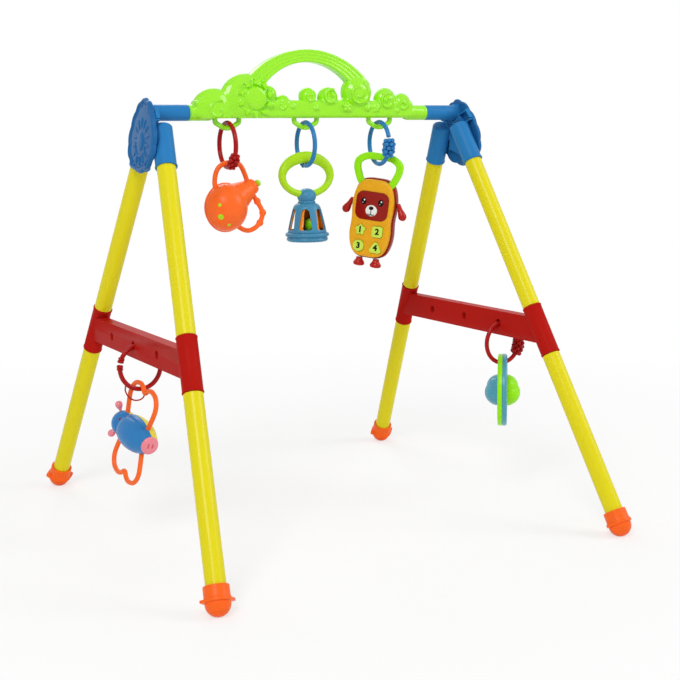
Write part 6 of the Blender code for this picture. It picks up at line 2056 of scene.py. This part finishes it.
@dataclass
class PigRattle(Assembly):
    """A two-coloured pig-like rattle clasped round an orange butterfly handle. Local -Y is its nose."""

    tilt: float = math.radians(12)
    yaw: float = math.radians(6)
    lean: float = math.radians(12)
    lobe: tuple[float, float, float] = (0.0, 0.0150, 0.0570)
    rise: float = 0.0067
    hang_z: float = BEAM_HOOK_Z
    handle_d: float = 0.0058
    head_d: float = 0.0315
    body_d: float = 0.0410
    snout_d: float = 0.0216
    ear_d: float = 0.0090
    ear_length: float = 0.0125
    eye: tuple[float, float, float] = (0.0022, 0.0022, 0.0007)
    collar_z: float = -0.0166
    head_centre: float = -0.0290
    nose_end: float = 0.0400
    seam: float = 0.0003

    def place(self) -> Matrix:
        """The toy's own frame, tilted so that its upper lobe hangs in the link."""
        nod = Matrix.Rotation(self.yaw, 4, "Z") @ Matrix.Rotation(self.tilt, 4, "X")
        turn = nod @ Matrix.Rotation(self.lean, 4, "Y")
        spot = Vector((-LEGS.x_at(BEAM_Z), 0.0, self.hang_z + self.rise)) - turn.to_3x3() @ Vector(self.lobe)
        return Matrix.Translation(spot) @ turn

    def handle(self) -> Shape:
        """The butterfly outline in thick round wire."""
        quarter = (
            (0.0, 0.0500), (0.0075, 0.0550), (0.0160, 0.0570), (0.0280, 0.0525), (0.0335, 0.0400),
            (0.0290, 0.0190), (0.0235, 0.0),
        )
        right = [*quarter, *((x, -z) for x, z in reversed(quarter[:-1]))]
        whole = [*right, *((-x, z) for x, z in reversed(right[1:-1]))]
        path = smooth_path([(0.0, -x, z) for x, z in whole], 10, True)
        return wire("piglet_butterfly_handle", path, self.handle_d / 2, True, 8)

    def body(self) -> Shape:
        """The egg-shaped muzzle with its collar and the round head, turned about the nose's axis."""
        head, body, snout = self.head_d / 2, self.body_d / 2, self.snout_d / 2
        muzzle = (
            (snout * 1.08, self.nose_end - 0.0012), (body * 0.74, 0.0300), (body * 0.90, 0.0210),
            (body * 0.985, 0.0110), (body, 0.0020), (body * 0.96, -0.0070), (body * 0.87, -0.0130),
        )
        profile = [
            (0.0, self.nose_end), (snout * 1.02, self.nose_end), *smooth_path(muzzle, 6),
            (body * 0.84, -0.0142), (body * 0.86, -0.0150), (body * 0.84, -0.0158), (body * 0.79, -0.0162),
            (head * 0.95, self.collar_z),
        ]
        first = math.acos(min(1.0, (self.collar_z - self.head_centre) / head)) + 0.08
        for k in range(25):
            angle = first + (math.pi - first) * k / 24
            radius = head * math.sin(angle) if k < 24 else 0.0
            profile.append((radius, self.head_centre + head * math.cos(angle)))
        return lathe("piglet_body", profile, Matrix.Rotation(math.pi / 2, 4, "X"), 80)

    def snout(self) -> Shape:
        """The pink disc with two slits for nostrils."""
        radius, near = self.snout_d / 2, self.nose_end + self.seam
        far = self.nose_end + 0.0032
        profile = (
            (0, far), (radius * 0.55, far - 0.0001), (radius * 0.84, far - 0.0003),
            (radius * 0.95, far - 0.0008), (radius, far - 0.0016), (radius, near), (0, near),
        )
        disc = lathe("piglet_snout_disc", profile, Matrix.Rotation(math.pi / 2, 4, "X"), 64)
        slits = []
        for sign in (-1, 1):
            slot = rounded_box(0.0024, 0.0058, 0.00115)
            slits.append(plate(f"slit_{sign}", [slot], 0.004, towards_front((sign * 0.0028, -(far - 0.0014), 0))))
        return solid(disc, slits, "DIFFERENCE")

    def ear_frame(self, side: Side) -> Matrix:
        """Where an ear stands on the head."""
        direction = Vector((-0.26, 0.56, -side.value * 0.78)).normalized()
        return along(direction, Vector((0, -self.head_centre, 0)) + direction * self.head_d / 2)

    def ear(self, name: str, frame: Matrix) -> Shape:
        """A drop-shaped ear on a thin stalk."""
        radius, length = self.ear_d / 2, self.ear_length
        drop = (
            (0, length), (radius * 0.55, length * 0.965), (radius * 0.90, length * 0.82), (radius, length * 0.62),
            (radius * 0.84, length * 0.40), (radius * 0.55, length * 0.24), (0.0016, 0.0010),
        )
        return lathe(name, [*smooth_path(drop, 4), (0.0016, -0.0038), (0, -0.0038)], frame, 40)

    def build(self) -> None:
        """Builds the shells, handle, snout, ears and eyes, and hangs them."""
        names = ("piglet_yellow_half", "piglet_blue_half")
        sunny, blue = halved(self.body(), names, Matrix.Rotation(-math.pi / 2, 4, "Y"), self.seam)
        self.add(blue, BLUE_LINK, "piglet", "toy_blue", "piglet_blue_shell")
        self.add(sunny, SUNNY_SHELL, "piglet", "toy_yellow", "piglet_yellow_shell")
        self.add(self.handle(), ORANGE_TOY, "piglet", "rattle_orange", "piglet_handle")
        self.add(self.snout(), PINK_SOFT, "piglet", "pink", "piglet_snout")
        for side in Side:
            node = f"piglet_{side.name}_ear".lower()
            self.add(self.ear(f"{node}_drop", self.ear_frame(side)), PINK_SOFT, "piglet", "pink", node)
        for side in Side:
            direction = Vector((-0.72, -0.50, side.value * 0.48)).normalized()
            spot = Vector((0, -self.head_centre, 0)) + direction * (self.head_d / 2 - 0.0002)
            number = 1 if side is Side.LEFT else 2
            eye = ball(f"piglet_eye_{number}", self.eye, along(direction, spot), 24)
            self.add(eye, MAROON_SHELL, "piglet", "toy_blue")
        self.hang(self.place())


@dataclass
class PetalBall(Assembly):
    """Two flat rings back to back, and a ball of teal and lime petals that spins on an axle across them."""

    hook: Hook = Hook((LEGS.x_at(BEAM_Z), PETAL_Y, BEAM_HOOK_Z), math.radians(-36), 0.0, 0.0021)
    ring_d: float = 0.0944
    band: float = 0.0056
    thickness: float = 0.0059
    ball_d: float = 0.046
    ball_width: float = 0.049
    notch: float = math.radians(14)
    upper_petal: tuple[float, float] = (0.86, 0.08)
    lower_petal: tuple[float, float] = (0.87, 0.125)
    swell_bend: float = 0.7
    line_depth: float = 0.035
    line_width: float = 0.05
    corner: float = 0.0026
    axle_d: float = 0.0050
    seam: float = 0.0003

    def ring(self, name: str, sign: int, centre: Matrix) -> Shape:
        """One flat ring, rounded outside. The chamfers of both rings make a fine groove where they meet."""
        radius, inner = self.ring_d / 2, self.ring_d / 2 - self.band
        near, far = self.seam / 2, self.seam / 2 + self.thickness
        corner = self.corner
        profile = [(inner, near), (inner, far - 0.0006), (inner + 0.0006, far)]
        bend = [math.pi / 2 * k / 8 for k in range(9)]
        profile += [(radius - corner + corner * math.sin(a), far - corner + corner * math.cos(a)) for a in bend]
        profile += [(radius, near + 0.0004), (radius - 0.0004, near)]
        return lathe(name, profile, centre @ Matrix.Rotation(sign * math.pi / 2, 4, "Y"), 128)

    def swell(self, lift: float) -> float:
        """How far the petals swell at an angle above the level: a small one, a notch and a large one."""
        (low, rise), sense = (self.upper_petal, 1) if lift > self.notch else (self.lower_petal, -1)
        share = sense * (lift - self.notch) / (math.pi / 2 - sense * self.notch)
        return low + rise * math.sin(math.pi * share) ** self.swell_bend

    def half(self, name: str, sign: int, centre: Matrix) -> Shape:
        """Half of the ball: two overlapping petals, each parted by a sunk line along its middle."""
        rings = []
        rows, around = 64, 160
        radius, half = self.ball_d / 2, self.ball_width / 2
        for row in range(rows):
            angle = math.pi / 2 * row / (rows - 0.5)
            ring = []
            for k in range(around):
                turn = math.tau * k / around
                out, beside, up = math.sin(angle), math.cos(angle) * math.sin(turn), math.cos(angle) * math.cos(turn)
                line = self.line_depth * math.exp(-((beside / self.line_width) ** 2)) * out
                scale = self.swell(math.atan2(up, max(out, 1e-6))) - line
                along_axis = sign * max(half * out * scale, self.seam / 2)
                ring.append(Vector((along_axis, radius * beside * scale, radius * up * scale)))
            rings.append(ring)
        made = skin(name, rings)
        made.data.transform(centre)
        return made

    def build(self) -> None:
        """Builds the rings, the axle and both halves of the ball, and hangs them."""
        inner = self.ring_d / 2 - self.band
        centre = Matrix.Translation((0, 0, HANG_RISE - inner))
        self.add(self.ring("petal_ring_lime", -1, centre), LIME_HANDLE, "petal_ring", "lime", "ring_green")
        self.add(self.ring("petal_ring_teal", 1, centre), TEAL_SHELL, "petal_ring", "teal", "ring_blue")
        reach, radius, lip = inner + 0.0030, self.axle_d / 2, 0.0004
        upper = [(0, reach), (radius - lip, reach), (radius, reach - lip)]
        profile = upper + [(r, -height) for r, height in reversed(upper)]
        axle = lathe("petal_axle_pin", profile, centre @ Matrix.Rotation(math.pi / 2, 4, "X"), 32)
        self.add(axle, LIME_HANDLE, "petal_ring", "lime", "petal_axle")
        self.add(self.half("petal_ball_teal", -1, centre), TEAL_SHELL, "petal_ball", "teal", "petal_teal_half")
        self.add(self.half("petal_ball_lime", 1, centre), LIME_HANDLE, "petal_ball", "lime", "petal_lime_half")
        self.hang(self.hook.place())


@dataclass
class Studio:
    """A pale floor, soft lamps and the camera."""

    spot: tuple[float, float, float] = (-0.7226, -1.4275, 0.4724)
    yaw: float = math.radians(28.25)
    pitch: float = math.radians(8.72)
    roll: float = math.radians(-0.70)
    focal_pixels: float = 1271.8
    middle: tuple[float, float] = (346.0, 335.0)
    sensor: float = 36.0
    floor_reach: float = 6.0
    lit_height: float = 0.28
    sky_light: float = 0.46
    floor_glow: float = 0.62
    floor_fade: tuple[float, float] = (0.45, 1.3)
    lamps: tuple[tuple[tuple[float, float, float], float, float], ...] = (
        ((-1.6, -1.8, 2.2), 1.1, 38.0), ((1.8, -1.2, 1.6), 1.1, 18.0), ((0.2, 1.8, 2.0), 1.4, 14.0),
    )

    def camera(self) -> None:
        """The camera where the photographer stood."""
        data = bpy.data.cameras.new("camera")
        data.sensor_width = self.sensor
        data.sensor_fit = "HORIZONTAL"
        data.lens = self.focal_pixels * self.sensor / IMAGE_SIZE
        data.shift_x = (IMAGE_SIZE / 2 - self.middle[0]) / IMAGE_SIZE
        data.shift_y = (self.middle[1] - IMAGE_SIZE / 2) / IMAGE_SIZE
        data.clip_start, data.clip_end = 0.01, 60.0
        sine, cosine = math.sin(self.yaw), math.cos(self.yaw)
        ahead = Vector((sine * math.cos(self.pitch), cosine * math.cos(self.pitch), -math.sin(self.pitch)))
        right = Vector((cosine, -sine, 0.0))
        up = right.cross(ahead)
        across = right * math.cos(self.roll) + up * math.sin(self.roll)
        above = up * math.cos(self.roll) - right * math.sin(self.roll)
        turn = Matrix((across, above, -ahead)).transposed().to_4x4()
        bpy.context.scene.camera = new_object("camera", data, Matrix.Translation(self.spot) @ turn)

    def lamp(self, spot: Sequence[float], size: float, watts: float) -> None:
        """A square soft lamp that faces the toy."""
        data = bpy.data.lights.new("softbox", "AREA")
        data.size = size
        data.energy = watts
        ahead = Vector((0.0, 0.0, self.lit_height)) - Vector(spot)
        new_object("softbox", data, Matrix.Translation(spot) @ ahead.to_track_quat("-Z", "Y").to_matrix().to_4x4())

    def seen_directly(self, graph: Graph) -> Value:
        """1 for camera, glossy and transmission rays."""
        path = graph.node("ShaderNodeLightPath")
        total = Value(graph, path.outputs["Is Camera Ray"]) + Value(graph, path.outputs["Is Glossy Ray"])
        return (total + Value(graph, path.outputs["Is Transmission Ray"])).clamped()

    def world(self) -> None:
        """An even white sky, which also lights the toy a little."""
        world = bpy.data.worlds.new("studio")
        bpy.context.scene.world = world
        graph = Graph.of(world)
        strength = self.seen_directly(graph) * (1 - self.sky_light) + self.sky_light
        sky = graph.node("ShaderNodeBackground", Color=(1.0, 1.0, 1.0, 1.0), Strength=strength)
        graph.node("ShaderNodeOutputWorld", Surface=sky.outputs[0])

    def floor(self) -> None:
        """A white floor that keeps the toy's shadow and fades into the sky far out."""
        edit = bmesh.new()
        bmesh.ops.create_circle(edit, cap_ends=True, segments=96, radius=self.floor_reach)
        made = from_bmesh("studio_floor", edit)
        finish = bpy.data.materials.new("studio floor")
        graph = Graph.of(finish)
        place = graph.place()
        far = graph.node("ShaderNodeVectorMath", {"operation": "LENGTH"}, _0=place).outputs["Value"]
        fade = Value(graph, far).ramp(*self.floor_fade) * (1 - self.floor_glow) + self.floor_glow
        grain = graph.noise(place, 6.0)
        colour = graph.blend(grain, (0.95, 0.95, 0.95, 1.0), (0.96, 0.96, 0.96, 1.0))
        matt = graph.node("ShaderNodeBsdfDiffuse", Color=colour)
        glow = graph.node("ShaderNodeEmission", Color=(1.0, 1.0, 1.0, 1.0), Strength=1.0)
        share = fade * self.seen_directly(graph)
        lit = graph.node("ShaderNodeMixShader", _0=share, _1=matt.outputs[0], _2=glow.outputs[0])
        graph.node("ShaderNodeOutputMaterial", Surface=lit.outputs[0])
        made.data.materials.append(finish)

    def build(self) -> None:
        """Sets up the floor, the sky, the lamps and the camera."""
        self.floor()
        self.world()
        for spot, size, watts in self.lamps:
            self.lamp(spot, size, watts)
        self.camera()
        bpy.context.scene.view_settings.view_transform = "Standard"


def corners(box: Any) -> list[list[float]]:
    """A box as plain lists."""
    return [[float(value) for value in corner] for corner in box]


def main() -> None:
    """Builds and dresses every sub-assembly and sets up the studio."""
    logging.basicConfig(level=logging.INFO, format="%(name)s: %(message)s")
    assemblies: tuple[Assembly, ...] = (
        TubeLegs(),
        Feet(),
        Crossbars(),
        Hubs(),
        CloudBar(),
        LinkRings(),
        RoundRattle(),
        BellRattle(),
        ToyPhone(),
        PigRattle(),
        PetalBall(),
    )
    for assembly in assemblies:
        LOG.info("building %s", type(assembly).__name__)
        assembly.build()
        assembly.dress()
    Studio().build()


if __name__ == "__main__":
    main()
